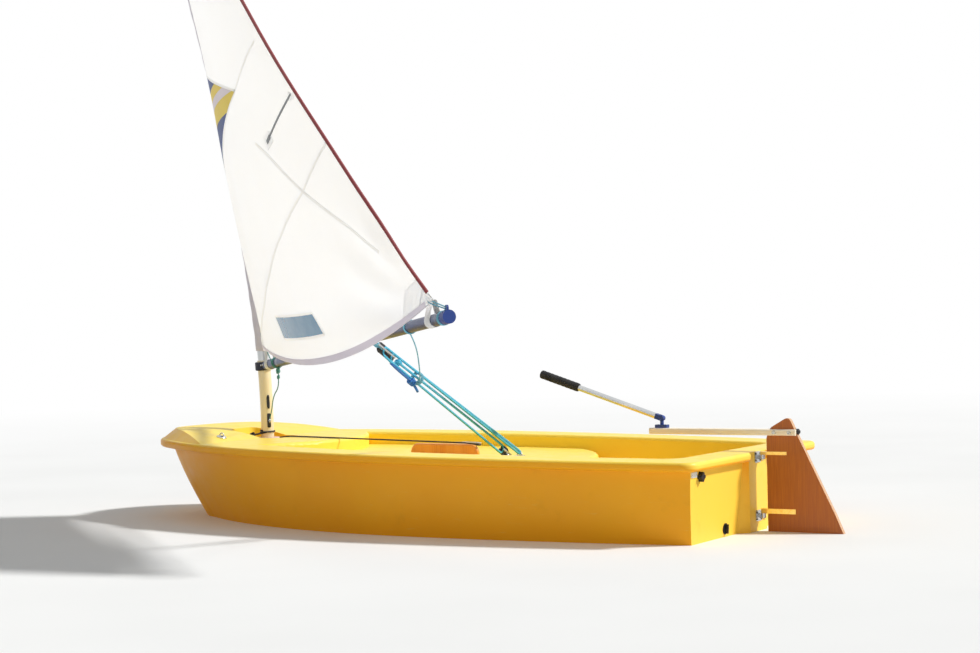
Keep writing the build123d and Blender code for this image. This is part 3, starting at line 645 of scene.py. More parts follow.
def clear_film(name, code):
    """Pressed clear film: glossy, with shallow ripples; its blue-grey is a painted reflection, the dark
    surroundings seen through the film and mirrored in it.
    """
    finish, add, shader, place = start_finish(name)
    base = mottled(add, place, colour(code), "#7BACC6", 60, 0.35, 0.7, 0.4, 4)
    ripples = add("TexNoise", {"Vector": place, "Scale": MM / 55, "Detail": 2})
    relief = add("Bump", {"Height": ripples, "Distance": 0.8 / MM})
    connect(shader, {"Base Color": base, "Normal": relief, "Alpha": 0.93, "Roughness": 0.14,
                     "Coat Weight": 0.4})
    return finish


# Each finish, with what it gives the eye on this boat
hull_yellow = polyethylene_hull()  # golden shell
pale_moulding = moulded_plastic("moulded_nylon_pale", "#DDBBA6", 0.5)  # faded step under the mast
black_moulding = moulded_plastic("moulded_nylon_black", "#17171A", 0.38, wear=0.06)  # low dark shine
navy_moulding = moulded_plastic("moulded_nylon_navy", "#0C1028", 0.55, wear=0.04)  # dull dark jaw
blue_moulding = moulded_plastic("moulded_nylon_blue", "#173881", 0.4, wear=0.08)  # bright blue ends
white_moulding = moulded_plastic("moulded_acetal_white", "#E2E4E4", 0.4, wear=0.0)  # clean blank plate
grey_moulding = moulded_plastic("moulded_acetal_grey", "#8C8F90", 0.45)  # grey wheels, and the batten, drawn on the sail's face as painted shade
blue_rubber = moulded_plastic("moulded_rubber_blue", "#2A4690", 0.62, 0.8, 0.08)  # soft matt neck
steel = worked_metal("polished_stainless_steel", "#C9CACB", 0.22, "#9A9B9B")  # bright small fittings
brass = worked_metal("pressed_brass", "#FFE99C", 0.3, "#FFD672")  # pale gold straps
cream_tube = anodised_tube("anodised_aluminium_cream", "#EFDFB8", 0.42, 0.25)  # chalky lower mast
silver_tube = anodised_tube("anodised_aluminium_silver", "#C9CBCC", 0.32)  # satin upper mast
boom_tube = anodised_tube("anodised_aluminium_grey", "#5C647E", 0.36)  # blue-grey boom
rudder_wood = mahogany_plywood()  # red-brown blade with striped edges
board_wood = varnished_wood(  # warm orange board
    "varnished_meranti_board", "#FFB648", "#FFA42E", "#EE8C18", "z", 2.4, 30)[0]
tiller_wood = varnished_wood(  # pale, nearly bare tiller
    "planed_ash", "#FFFAEC", "#FFF3DA", "#F4DDB2", "x", 1.8, 12, 0.25)[0]
foam = cut_foam("closed_cell_foam", "#1B1B1C")  # black matt grip
webbing = woven_webbing("woven_polyester_webbing", "#E4E4E2")  # off-white ribbed straps
sailcloth = woven_cloth("woven_sailcloth_white", "#FFFFFF", "#FBFAF6", 1.6, 0.9)  # glows in the sun
seam_cloth = woven_cloth("sewn_seam_tape_cream", "#FDFAF2", "#F8F3E8", 1.2, 1.0)  # faint warm lines
blue_cloth = woven_cloth("woven_sailcloth_blue", "#1B3D80", "#183670", 1.2, 0.1)  # deep blue bands
yellow_cloth = woven_cloth("woven_sailcloth_yellow", "#ECCB3C", "#DDB92E", 1.2, 0.2)  # warm bands
painted_shade_band_cloth = woven_cloth("woven_sailcloth_white_painted_shade", "#DDD0D6", "#D0C3CB", 1.2, 0.3)  # white middle band, pale lilac as painted shade
red_tape = woven_cloth("woven_edge_tape_red", "#820F19", "#760D16", 1.2, 0.1)  # thin dark edge
lilac_shade_cloth = woven_cloth("woven_cloth_lilac_painted_shade", "#E6DEE8", "#DAD0DE", 1.4, 0.3)  # white cloth, lilac-grey as painted shade on the luff and foot
patch_cloth = woven_cloth("woven_patch_cloth", "#FEFDFE", "#F8F6F6", 1.4, 1.0)  # whiter corners
window_film = clear_film("pressed_vinyl_film", "#3C84AC")  # blue-grey pane: painted reflection
sheet_rope = braided_rope("braided_polyester_blue", "#2CAAD2", "#8CE6F0", 6.0)  # bright turquoise
deep_rope = braided_rope("braided_polyester_deep_blue", "#1C62AE", "#3C9CD8", 6.0)  # darker end
control_line = braided_rope("braided_polyester_light_blue", "#5FB4CE", "#B9E8EE", 3.4)  # thin, light
green_line = braided_rope("braided_polyester_green", "#2F7F74", "#7CC9B6", 3.0)  # thin and green
shock_cord = braided_rope("braided_shock_cord", "#2C1E1A", "#5A4238", 2.6)  # dark brown cord
dark_cord = braided_rope("braided_cord_black", "#1A1818", "#3A3634", 2.8)  # black, a little worn
white_cord = braided_rope("braided_cord_white", "#D8D2CC", "#F2EEE8", 2.8)  # dull white loop

NODE_FINISHES = {
    "hull": hull_yellow, "mast_step": pale_moulding, "gudgeon_upper": steel, "gudgeon_lower": steel,
    "transom_knob": black_moulding, "drain_bung": black_moulding, "label_plate": white_moulding,
    "hook_eye": steel, "sheet_eye": steel, "mast_lower": cream_tube, "mast_upper": silver_tube,
    "boom_jaw": navy_moulding, "boom": boom_tube, "boom_cap": blue_moulding, "rudder_blade": rudder_wood,
    "strap_upper": brass, "strap_lower": brass, "tiller": tiller_wood, "tiller_bolt_1": steel,
    "tiller_bolt_2": steel, "joint_base": blue_moulding, "joint_neck": blue_rubber,
    "extension_fork": blue_moulding, "extension_tube": silver_tube, "daggerboard": board_wood,
    "board_stop_port": board_wood, "board_stop_starboard": board_wood,
}
for node, finish in NODE_FINISHES.items():
    coat(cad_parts[node], finish)


# Sail: cut flat on luff distance and height, then laid on the sail's surface
def edges(corners):
    """Sides of an outline, each as the corners at its ends."""
    return list(zip(corners, corners[1:] + corners[:1]))


def left_of(spot, a, b):
    """Whether a flat spot lies to the left of the line from a to b."""
    return (b[0] - a[0]) * (spot.y - a[1]) > (b[1] - a[1]) * (spot.x - a[0])


def cut_cloth(corners, square, thick, hole=()):
    """Flat cloth with a thickness, cut to a convex outline given anticlockwise, less a four-sided hole."""
    low = Vector((min(c[0] for c in corners), min(c[1] for c in corners), 0))
    high = Vector((max(c[0] for c in corners), max(c[1] for c in corners), 0))
    size = high - low
    set_down()
    bpy.ops.mesh.primitive_grid_add(
        x_subdivisions=max(2, round(size.x / square)), y_subdivisions=max(2, round(size.y / square)), size=1)
    piece = bpy.context.object
    piece.scale = (size.x, size.y, 1)
    piece.location = (low + high) / 2
    bpy.ops.object.transform_apply(location=True, rotation=False, scale=True)
    pick(piece)
    for a, b, trim in [(*side, True) for side in edges(corners)] + [(*side, False) for side in edges(hole)]:
        bpy.ops.mesh.select_all(action="SELECT")
        bpy.ops.mesh.bisect(
            plane_co=(*a, 0), plane_no=(b[1] - a[1], a[0] - b[0], 0), clear_outer=trim, threshold=WELD)
    if hole:
        pick(piece, "FACE", lambda face: all(
            left_of(face.calc_center_median(), *side) for side in edges(hole)))
        bpy.ops.mesh.delete(type="FACE")
    set_down()
    return lay_flat(piece, thick)


def ribbon(points, width, thick, square=0.03):
    """Flat strip of a width along a line, with a thickness."""
    spots = [Vector((p[0], p[1], 0)) for p in points]
    runs = [0.0]
    for a, b in zip(spots, spots[1:]):
        runs.append(runs[-1] + (b - a).length)
    set_down()
    bpy.ops.mesh.primitive_grid_add(
        x_subdivisions=max(2, round(runs[-1] / square)), y_subdivisions=2, size=1)
    piece = bpy.context.object
    for corner in piece.data.vertices:
        run = (corner.co.x + 0.5) * runs[-1]
        i = max(k for k in range(len(runs) - 1) if k == 0 or runs[k] <= run + TINY)
        way = (spots[i + 1] - spots[i]).normalized()
        before = (spots[i] - spots[max(i - 1, 0)]).normalized() or way
        after = (spots[min(i + 2, len(spots) - 1)] - spots[i + 1]).normalized() or way
        share = (run - runs[i]) / (runs[i + 1] - runs[i])
        lean = (before + way).normalized().lerp((way + after).normalized(), share).normalized()
        corner.co = spots[i] + way * (run - runs[i]) + Vector((-lean.y, lean.x, 0)) * corner.co.y * width
    return lay_flat(piece, thick)


def lay_flat(piece, thick):
    """Gives a flat piece its cloth map and its thickness."""
    for layer in list(piece.data.uv_layers):
        piece.data.uv_layers.remove(layer)
    layer = piece.data.uv_layers.new(name="cloth")
    for loop in piece.data.loops:
        spot = piece.data.vertices[loop.vertex_index].co
        layer.data[loop.index].uv = (spot.x, spot.y)
    modify(piece, "SOLIDIFY", thickness=thick, offset=0.0)
    return piece


def hang(piece, name, finish=None):
    """Lays a flat piece on the sail's surface and has it ride on the rig."""
    for corner in piece.data.vertices:
        corner.co = on_sail(*corner.co)
    if finish:
        coat(piece, finish)
    return settle(piece, name, "rig", 50)


def leech_line(low, high, inset=0.0, steps=14):
    """Points along the leech, from a height up to another."""
    heights = [low + (high - low) * i / steps for i in range(steps + 1)]
    return [(sail_span(z) - inset, z) for z in heights]


def above_foot(*spots):
    """Flat spots given as distance from the luff and height above the sail's foot."""
    return [(s, SAIL_FOOT + rise) for s, rise in spots]


LUFF_START = 0.03
BAND_TOP = (0.853, 1.373)
WINDOW = [(0.76, 0.652), (1.195, 0.65), (1.153, 0.699), (0.74, 0.706)]
panel_outline = [(LUFF_START, SAIL_FOOT)] + leech_line(SAIL_FOOT, SAIL_HEAD) + [(LUFF_START, SAIL_HEAD)]
sail = hang(cut_cloth(panel_outline, CLOTH_SQUARE, CLOTH_T, WINDOW), "sail_panel", sailcloth)
hang(cut_cloth(WINDOW, 0.03, 0.0005), "sail_window", window_film)
window_edges = [ribbon(side, 0.005, 0.0016) for side in edges(WINDOW)]
hang(join(*window_edges), "window_seam", seam_cloth)

# Coloured bands in the luff, cut from one triangle
BAND_CORNERS = [(LUFF_START, 1.07), BAND_TOP, (LUFF_START, 1.555)]
BAND_LEVELS = (None, 1.307, 1.361, 1.391, 1.425, None)
# The middle band is white cloth with painted shade.
BAND_FINISHES = (blue_cloth, yellow_cloth, painted_shade_band_cloth, yellow_cloth, blue_cloth)
BAND_SLOPE = 0.02
bands = []
for low, high, finish in zip(BAND_LEVELS, BAND_LEVELS[1:], BAND_FINISHES):
    strip = cut_cloth(BAND_CORNERS, CLOTH_SQUARE, CLOTH_T + 0.0012)
    pick(strip)
    for level, side in ((low, -1), (high, 1)):
        if level:
            bpy.ops.mesh.select_all(action="SELECT")
            bpy.ops.mesh.bisect(
                plane_co=(0, level, 0), plane_no=(-BAND_SLOPE * side, side, 0),
                clear_outer=True, use_fill=True, threshold=WELD)
    set_down()
    bands.append(coat(strip, finish))
band_panel = hang(join(*bands), "sail_bands")

# Seams, tapes and corner patches
SEAMS = (
    [(1.045, 1.497), BAND_TOP, (0.72, 1.319), (0.584, 1.257), (0.4, 1.195), (LUFF_START, 1.06)],
    [(1.452, 1.134), (1.299, 1.012), (1.089, 0.908), (0.856, 0.808), (0.623, 0.737), (0.3, 0.672),
     (0.06, 0.632)],
    [(1.0, 1.19), (1.096, 1.141), (1.294, 1.0152)],
    [(1.304, 1.0092), (1.533, 0.883), (1.66, 0.8)],
    [(LUFF_START, 1.56), BAND_TOP],
    [(0.71, 1.858), (LUFF_START, 1.76)],
)
seams = [ribbon(line, 0.008, 0.0016 + 0.0003 * i, CLOTH_SQUARE) for i, line in enumerate(SEAMS)]
seam_strips = hang(join(*seams), "sail_seams", seam_cloth)
leech_tape = ribbon(leech_line(SAIL_FOOT + 0.032, SAIL_HEAD, 0.004, 30), 0.0095, 0.0046, 0.012)
leech_tape = hang(leech_tape, "leech_tape", red_tape)

clew_s = sail_span(SAIL_FOOT)
FOOT_TAPE = above_foot((0.05, 0), (clew_s - 0.04, 0), (clew_s - 0.04, 0.015), (1.1, 0.014), (0.05, 0.008))
# The foot tape is white cloth painted lilac-grey: painted shade.
foot_tape = hang(cut_cloth(FOOT_TAPE, CLOTH_SQUARE, 0.0044), "foot_tape", lilac_shade_cloth)
HEAD_PATCH_Z = 2.13
CLEW_PATCH = above_foot((clew_s - 0.17, 0), (clew_s, 0), (clew_s - 0.055, 0.09), (clew_s - 0.12, 0.075))
TACK_PATCH = above_foot((LUFF_START, 0), (0.2, 0), (0.16, 0.07), (LUFF_START, 0.15))
HEAD_PATCH = [(LUFF_START, HEAD_PATCH_Z), (sail_span(HEAD_PATCH_Z) - 0.004, HEAD_PATCH_Z),
              (sail_span(SAIL_HEAD) - 0.004, SAIL_HEAD), (LUFF_START, SAIL_HEAD)]
patches = [cut_cloth(CLEW_PATCH, 0.008, 0.0026), cut_cloth(TACK_PATCH, 0.02, 0.002),
           cut_cloth(HEAD_PATCH, 0.02, 0.002)]
corner_patches = hang(join(*patches), "corner_patches", patch_cloth)
INNER_PATCH = above_foot((clew_s - 0.08, 0), (clew_s, 0), (clew_s - 0.036, 0.055))
inner_patch = hang(cut_cloth(INNER_PATCH, 0.008, 0.0038), "clew_inner_patch", patch_cloth)

# The batten is drawn as a grey strip on the sail's face: painted shadow of the batten seen through its
# pocket's cloth.
batten = ribbon([(1.112, 1.19), (1.278, 1.303)], 0.008, 0.0042, 0.02)
round_edges(batten, 0.001)
hang(batten, "batten_painted_shadow", grey_moulding)
BATTEN_PATCHES = (
    [(1.075, 1.198), (1.098, 1.158), (1.145, 1.18), (1.115, 1.215)],
    [(1.262, 1.312), (1.272, 1.285), (1.293, 1.288), (1.288, 1.302)],
)
batten_ends = [coat(cut_cloth(corners, 0.01, 0.0026), patch_cloth) for corners in BATTEN_PATCHES]
batten_ends.append(coat(ribbon([(1.1, 1.181), (1.124, 1.197)], 0.013, 0.0062, 0.008), grey_moulding))
hang(join(*batten_ends), "batten_patches")

# Sleeve round the mast, drawn out to a tail that holds the sail's luff
SLEEVE_RINGS = 96
SLEEVE_SIDES = 28
SLEEVE_CLOTH_W = 0.18
SLEEVE_OVER = 0.004
set_down()
bpy.ops.mesh.primitive_grid_add(x_subdivisions=SLEEVE_SIDES, y_subdivisions=SLEEVE_RINGS, size=1)
sleeve = bpy.context.object
cloth_map = sleeve.data.uv_layers.active
cloth_map.name = "cloth"
for loop in sleeve.data.loops:
    spot = sleeve.data.vertices[loop.vertex_index].co
    rise = (spot.y + 0.5) * (MAST_LEN - SLEEVE_FOOT_LEN)
    cloth_map.data[loop.index].uv = ((spot.x + 0.5) * SLEEVE_CLOTH_W, rise)
for corner in sleeve.data.vertices:
    turn = (corner.co.x + 0.5) * 2 * math.pi
    length = SLEEVE_FOOT_LEN + (corner.co.y + 0.5) * (MAST_LEN + SLEEVE_OVER - SLEEVE_FOOT_LEN)
    middle = mast_point(length)
    z = min(max(middle.z, SAIL_FOOT), SAIL_HEAD)
    aft = sail_point(LUFF_START, z) - sail_point(0.0, z)
    aft -= UP * aft.z
    aft.normalize()
    side = UP.cross(aft)
    pull = max(0.0, math.cos(turn)) ** 5
    low_end = min(1.0, (length - SLEEVE_FOOT_LEN) / 0.03 + 0.25)
    reach = SLEEVE_R + (SLEEVE_TAIL - SLEEVE_R) * pull * low_end
    half = SLEEVE_R * math.sin(turn) * (1 - 0.55 * pull)
    ruck = 0.0007 * math.sin(length * 74 + 2 * math.sin(turn)) * (1 - pull)
    corner.co = middle + aft * (reach * math.cos(turn))
    corner.co += side * half + (aft * math.cos(turn) + side * math.sin(turn)) * ruck
pick(sleeve, "VERT")
bpy.ops.mesh.remove_doubles(threshold=0.0001)
bpy.ops.mesh.normals_make_consistent(inside=False)
modify(sleeve, "SOLIDIFY", thickness=0.0009, offset=1.0)
# The sleeve is white cloth; its lilac-grey is painted shade.
coat(sleeve, lilac_shade_cloth)
settle(sleeve, "sail_sleeve", "rig", 60)
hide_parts("sail")

# Grommets at the clew and the tack
CLEW_HOLE = (clew_s - 0.024, SAIL_FOOT + 0.012)
TACK_HOLE = (0.08, SAIL_FOOT + 0.05)
GROMMET = [(0.0045, 0.0012), (0.0045, -0.0012), (0.0065, -0.0026), (0.009, -0.0016), (0.009, 0.0016),
           (0.0065, 0.0026), (0.0045, 0.0012)]
holes = [stand(on_sail(*hole, 0), on_sail(*hole, 0.01) - on_sail(*hole, 0), UP)
         for hole in (CLEW_HOLE, TACK_HOLE)]
settle(coat(copy_at(turned(GROMMET, 24), holes), brass), "sail_grommets", "rig")


# Webbing round the boom
def outline_round(circles, count=48):
    """Outline that a tight band takes round circles, given as x, y and radius."""
    found = []
    for i in range(count):
        turn = 2 * math.pi * i / count
        way = (math.cos(turn), math.sin(turn))
        x, y, r = max(circles, key=lambda c: c[0] * way[0] + c[1] * way[1] + c[2])
        found.append((x + r * way[0], y + r * way[1]))
    return found


def band(circles, width, thick):
    """Webbing band round circles, with its width along z."""
    outline = outline_round(circles)
    set_down()
    bpy.ops.mesh.primitive_circle_add(vertices=len(outline), radius=1)
    piece = bpy.context.object
    for corner, spot in zip(piece.data.vertices, outline):
        corner.co = (*spot, -width / 2)
    pick(piece, "EDGE")
    for _ in range(4):
        extrude(0, 0, width / 4)
    bpy.ops.mesh.select_all(action="SELECT")
    bpy.ops.mesh.normals_make_consistent(inside=False)
    modify(piece, "SOLIDIFY", thickness=thick, offset=1.0)
    round_edges(piece, thick * 0.3)
    return coat(piece, webbing)


TACK_STRAP_AT = 0.09
TACK_STRAP_H = 0.083
across_boom = Matrix((BOOM_SIDE, BOOM_TOP, BOOM_AXIS)).transposed().to_4x4()
clew_loop = band([(0, 0, BOOM_R + 0.0003), (0, CLEW_H, 0.006)], 0.044, 0.0018)
clew_loop.matrix_world = Matrix.Translation(on_boom(CLEW_AT)) @ across_boom
sewn = []
for along in (-0.018, -0.012, -0.006, 0, 0.006, 0.012, 0.018):
    for height in (0.024, 0.03, 0.036):
        spot = on_boom(CLEW_AT + along, 0.0125 - (height - 0.0175) * 0.19, height)
        sewn.append(stand(spot, BOOM_SIDE, BOOM_TOP))
stitch = slab(0.004, 0.0009, 0.0007)
round_edges(stitch, 0.0003)
clew_webbing = join(clew_loop, coat(copy_at(stitch, sewn), seam_cloth))
settle(clew_webbing, "clew_strap_webbing", "rig")
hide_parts("clew_strap")
tack_loop = band([(0, 0, BOOM_R + 0.0003), (0, TACK_STRAP_H, 0.0052)], 0.034, 0.0016)
tack_loop.matrix_world = Matrix.Translation(on_boom(TACK_STRAP_AT)) @ across_boom
settle(tack_loop, "tack_strap_webbing", "rig")

# Mainsheet line from the boom to the eye in the deck
strop_spot = on_boom(STROP_AT)
sheet_foot = Vector((SHEET_EYE_X, 0, deck_z(SHEET_EYE_X, DECK_DROP) + EYE_TOP))
sheet_way = (sheet_foot - strop_spot).normalized()
sheet_flat = sheet_way.cross(UP).normalized()
sheet_side = sheet_flat.cross(sheet_way)


def on_sheet(length, side=0.0, flat=0.0):
    """Point by the mainsheet's line: down it from the boom, to a side of it, and off the blocks' faces."""
    return strop_spot + sheet_way * length + sheet_side * side + sheet_flat * flat


def wraps(middle, way, radius, turns, pitch, count=10):
    """Points of turns wound round a line."""
    side = way.cross(Vector((0.3, 0.2, 1))).normalized()
    other = way.cross(side).normalized()
    found = []
    for i in range(int(turns * count) + 1):
        angle = 2 * math.pi * i / count
        rise = way * pitch * (i / count - turns / 2)
        found.append(middle + rise + side * radius * math.cos(angle) + other * radius * math.sin(angle))
    return found


# Lashing that holds the upper block to the boom
LASHING_R = 0.0023
LASHING_PITCH = LASHING_R * 2.1
block_ring = on_sheet(STROP_LEN + 0.006)
lashing = wraps(on_boom(STROP_AT), BOOM_AXIS, BOOM_R + LASHING_R + 0.0002, 4, LASHING_PITCH)
for side, flat in ((0.003, 0.004), (-0.003, 0.004), (-0.003, -0.004), (0.003, -0.004)):
    leaving = on_sheet(BOOM_R + 0.004, side * 1.6, flat * 1.8)
    lashing += [leaving, leaving.lerp(block_ring, 0.5), block_ring + sheet_side * side + sheet_flat * flat]
    lashing += [block_ring + sheet_way * 0.005, block_ring - sheet_side * side - sheet_flat * flat]
lashing += wraps(on_sheet(0.045), sheet_way, 0.0068, 3, LASHING_PITCH)
lashing_line = rope("sheet_strop_lashing", lashing, LASHING_R, control_line, "rig")
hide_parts("sheet_strop")

# Blocks
UPPER_WHEELS = (0.03, 0.075)
LOWER_WHEELS = (0.034,)
HEAD_GAP = 0.006
WHEEL = [(0.0032, 0.0048), (0.012, 0.0048), (0.0128, 0.0042), (0.0098, 0.0016), (0.0094, 0),
         (0.0098, -0.0016), (0.0128, -0.0042), (0.012, -0.0048), (0.0032, -0.0048), (0.0032, 0.0048)]


def cheek(length, side):
    """Side plate of a block: a drum drawn out to a slot, with its middle sunk a little on one side."""
    plate = drum(BLOCK_W / 2, 0.0028, 36)
    pick(plate, "VERT", lambda corner: corner.co.x > 0.0001)
    bpy.ops.transform.translate(value=(length - BLOCK_W, 0, 0))
    pick(plate, "FACE", facing(0, 0, side))
    bpy.ops.mesh.inset(thickness=0.0035)
    bpy.ops.transform.translate(value=(0, 0, -side * 0.0008))
    round_edges(plate, 0.0007)
    return coat(plate, black_moulding)


def pulley_block(length, wheels):
    """Block along x: cheeks, grooved wheels, pins, steel strap and ring, with its first cheek's origin."""
    parts = []
    for side in (1, -1):
        plate = cheek(length - HEAD_GAP, side)
        plate.matrix_world = Matrix.Translation((HEAD_GAP + BLOCK_W / 2, 0, 0))
        strap = slab(length - HEAD_GAP, 0.0065, 0.0013, ((length + 0.002) / 2 - 0.004, 0, side * 0.0093))
        pick(strap, "FACE", lambda face: abs(face.normal.x) > 0.9)
        extrude(0, 0, 0)
        bpy.ops.transform.resize(value=(1.03, 0.5, 1))
        round_edges(strap, 0.0004)
        parts += [plate, coat(strap, steel)]
    axles = [Matrix.Translation((place, 0, 0)) for place in wheels]
    parts.append(coat(copy_at(turned(WHEEL, 32), axles), grey_moulding))
    pin = drum(0.003, 0.0216, 20)
    pick(pin, "FACE", lambda face: abs(face.normal.z) > 0.9)
    bpy.ops.mesh.inset(thickness=0.001)
    round_edges(pin, 0.0005)
    parts.append(coat(copy_at(pin, axles), steel))
    return join(*parts, coat(wire_ring(0.0072, 0.0021, (0.0045, 0, 0)), steel))


upper_block = pulley_block(BLOCK_LEN, UPPER_WHEELS)
upper_block.matrix_world = stand(on_sheet(STROP_LEN), sheet_flat, sheet_way)
settle(upper_block, "mainsheet_block_upper", "rig")
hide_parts("sheet_block_upper")
lower_block = pulley_block(LOWER_BLOCK_LEN, LOWER_WHEELS)
lower_block.matrix_world = stand(sheet_foot, sheet_flat, -sheet_way)
settle(lower_block, "mainsheet_block_lower", "hull")
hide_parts("sheet_block_lower")

# Second deck eye for the sheet's other parts: bent wire on a small plate
SIDE_EYE_X = 0.243
SIDE_EYE = Vector((SIDE_EYE_X, 0.056, deck_z(SIDE_EYE_X, DECK_DROP)))
plate = slab(0.036, 0.016, 0.0025, (0, 0, 0.0012))
round_edges(plate, 0.0009)
ring = cut_ring(wire_ring(0.009, 0.0022, (0, 0, 0.0035), 36, 12), 0.001, (0, 0, 1), clear_inner=True)
side_eye = coat(join(plate, ring), steel)
side_eye.matrix_world = Matrix.Translation(SIDE_EYE)
settle(side_eye, "mainsheet_side_eye", "hull")

# Ropes
SHEET_R = 0.004
SHEET_OFF = 0.0136


def run(a, b, count):
    """Points from one place to another, both ends among them."""
    return [a.lerp(b, i / count) for i in range(count + 1)]


def near(spot, *gaps):
    """Points at gaps from a spot."""
    return [spot + Vector(gap) for gap in gaps]


def turn_round(wheel, first, second, count=6):
    """Points of the sheet half round a wheel, from the first side, past the second way, to the far side."""
    turns = [math.pi * i / count for i in range(count + 1)]
    return [wheel + (first * math.cos(turn) + second * math.sin(turn)) * SHEET_OFF for turn in turns]


def knot(name, middle, way, radius, thick, finish, body):
    """Overhand stopper knot: tight turns and one crossing turn over them."""
    turns = wraps(middle, way, radius, 3, thick * 2.1)
    across = wraps(middle, way.cross(Vector((0.2, 1, 0.3))).normalized(), radius * 1.5, 0.8, thick)
    return rope(name, turns + across, thick, finish, body)


lower_wheel = sheet_foot - sheet_way * LOWER_WHEELS[0]
upper_wheel = on_sheet(STROP_LEN + UPPER_WHEELS[1])
high_wheel = on_sheet(STROP_LEN + UPPER_WHEELS[0])
side_top = SIDE_EYE + UP * 0.012
side_way = (side_top - high_wheel).normalized()
becket = on_sheet(STROP_LEN + BLOCK_LEN + 0.004)
off = sheet_side * SHEET_OFF
sheet_points = run(becket, lower_wheel + off, 16)[:-1] + turn_round(lower_wheel, sheet_side, sheet_way)
sheet_points += run(lower_wheel - off, upper_wheel - off, 16)[1:-1]
sheet_points += turn_round(upper_wheel, -sheet_side, -sheet_way)
sheet_points += run(upper_wheel + off, side_top + sheet_side * 0.005, 16)[1:] + [side_top + side_way * 0.01]
sheet_points += run(side_top - sheet_side * 0.005, high_wheel + off, 16)
sheet_points += turn_round(high_wheel, sheet_side, -sheet_way)[1:]
sheet_points += [high_wheel - off + sheet_way * 0.03, on_sheet(STROP_LEN + 0.08, -0.0175)]
mainsheet = rope("mainsheet", sheet_points, SHEET_R, sheet_rope)
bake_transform(mainsheet)
knot("sheet_becket_knot", becket, sheet_way, 0.0056, 0.0034, sheet_rope, "rig")

# The sheet's end, drawn back along its parts and knotted to them
end_knot = on_sheet(STROP_LEN + BLOCK_LEN + 0.09, -0.022)
end_points = [on_sheet(STROP_LEN + 0.07, -0.0185), on_sheet(STROP_LEN + BLOCK_LEN, -0.021), end_knot]
end_points += wraps(end_knot + sheet_way * 0.004, sheet_way, 0.0085, 2.5, 0.009)
end_points += [end_knot + sheet_way * 0.03 - sheet_side * 0.006]
end_points += [end_knot + sheet_way * 0.048 - sheet_side * 0.014]
end_line = rope("sheet_end_line", end_points, 0.0042, deep_rope)
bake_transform(end_line)

# Thin line from the boom to the sheet's parts, knotted round them
LEAD_AT = 1.6
LEAD_BULGE = Vector((0.011, 0.005, -0.003))
lead_top = on_boom(LEAD_AT, 0.0, -BOOM_R - 0.002)
lead_foot = on_sheet(STROP_LEN + BLOCK_LEN + 0.115, 0.0, 0.002)
lead_points = wraps(on_boom(LEAD_AT), BOOM_AXIS, BOOM_R + 0.0024, 2, 0.0045) + [lead_top]
lead_points += [lead_top.lerp(lead_foot, share) + LEAD_BULGE for share in (0.3, 0.68)]
lead_points += wraps(lead_foot, sheet_way, 0.0195, 3.5, 0.0055)
lead_line = rope("sheet_lead_line", lead_points, 0.002, control_line)
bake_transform(lead_line)

# Outhaul from the clew to the eye on the boom's cap
clew_hole = on_sail(*CLEW_HOLE, 0)
cap_eye = on_boom(BOOM_LEN - 0.017, 0, BOOM_R + 0.008)
outhaul = run(cap_eye + BOOM_AXIS * 0.004, clew_hole, 5) + [clew_hole - UP * 0.006 - BOOM_AXIS * 0.002]
outhaul += run(clew_hole.lerp(cap_eye, 0.1) - UP * 0.008, cap_eye - UP * 0.004, 4)
outhaul += wraps(on_boom(BOOM_LEN - 0.045), BOOM_AXIS, BOOM_R + 0.0022, 2.5, -0.0046)
rope("outhaul_line", outhaul, 0.0019, control_line, "rig")

# Downhaul from the tack, round the boom and slackly down to a hook low on the mast
DOWNHAUL_AT = 0.18
HOOK_AT = 0.041


def under_boom(drop):
    """Point a drop under the boom, where the downhaul leaves it."""
    return on_boom(DOWNHAUL_AT + 0.004, 0.0, -BOOM_R - drop)


def on_mast(length, sink):
    """Place on the mast's after side at a length along it, sunk in a little, with x off it and z up it."""
    return stand(mast_point(length) + BOOM_WAY * (MAST_R - sink), mast_way(length), BOOM_WAY)


tack_hole = on_sail(*TACK_HOLE, 0)
hook_spot = mast_point(HOOK_AT) + BOOM_WAY * (MAST_R + 0.006)
downhaul = [tack_hole + UP * 0.004, tack_hole - UP * 0.02]
downhaul += wraps(on_boom(DOWNHAUL_AT), BOOM_AXIS, BOOM_R + 0.0024, 3.5, 0.005)
downhaul += [under_boom(0.004), under_boom(0.07)]
for rise, aft in ((0.09, 0.06), (0.03, 0.03), (0.004, 0.004)):
    downhaul.append(hook_spot + UP * rise + BOOM_WAY * aft)
rope("downhaul_line", downhaul, 0.0018, green_line, "rig")
knot("downhaul_knot", under_boom(0.012), UP, 0.0046, 0.0028, green_line, "rig")
knot("downhaul_second_knot", under_boom(0.034), UP, 0.0032, 0.002, green_line, "rig")

# Hook low on the mast, riveted through a small plate
plate = slab(0.003, 0.013, 0.05, (0.0013, 0, 0))
pick(plate, "EDGE", lambda edge: abs(edge.verts[0].co.x - edge.verts[1].co.x) > 0.001)
bpy.ops.mesh.bevel(offset=0.004, segments=4, affect="EDGES")
round_edges(plate, 0.0006)
bill = cut_ring(wire_ring(0.0075, 0.0021, (0.0075, 0, 0), 32, 12), 0.0025, (-0.4, 0, 1), clear_outer=True)
rivet = turned([(0.0034, 0.0026), (0.0034, 0.0034), (0.0024, 0.0044), (0.0, 0.0048)], 20)
rivets = copy_at(rivet, [stand((0, 0, height), AFT, UP) for height in (0.0185, -0.0185)])
mast_hook = join(coat(plate, black_moulding), coat(bill, steel), coat(rivets, steel))
mast_hook.matrix_world = on_mast(HOOK_AT, 0.0008)
settle(mast_hook, "mast_hook_plate", "rig")

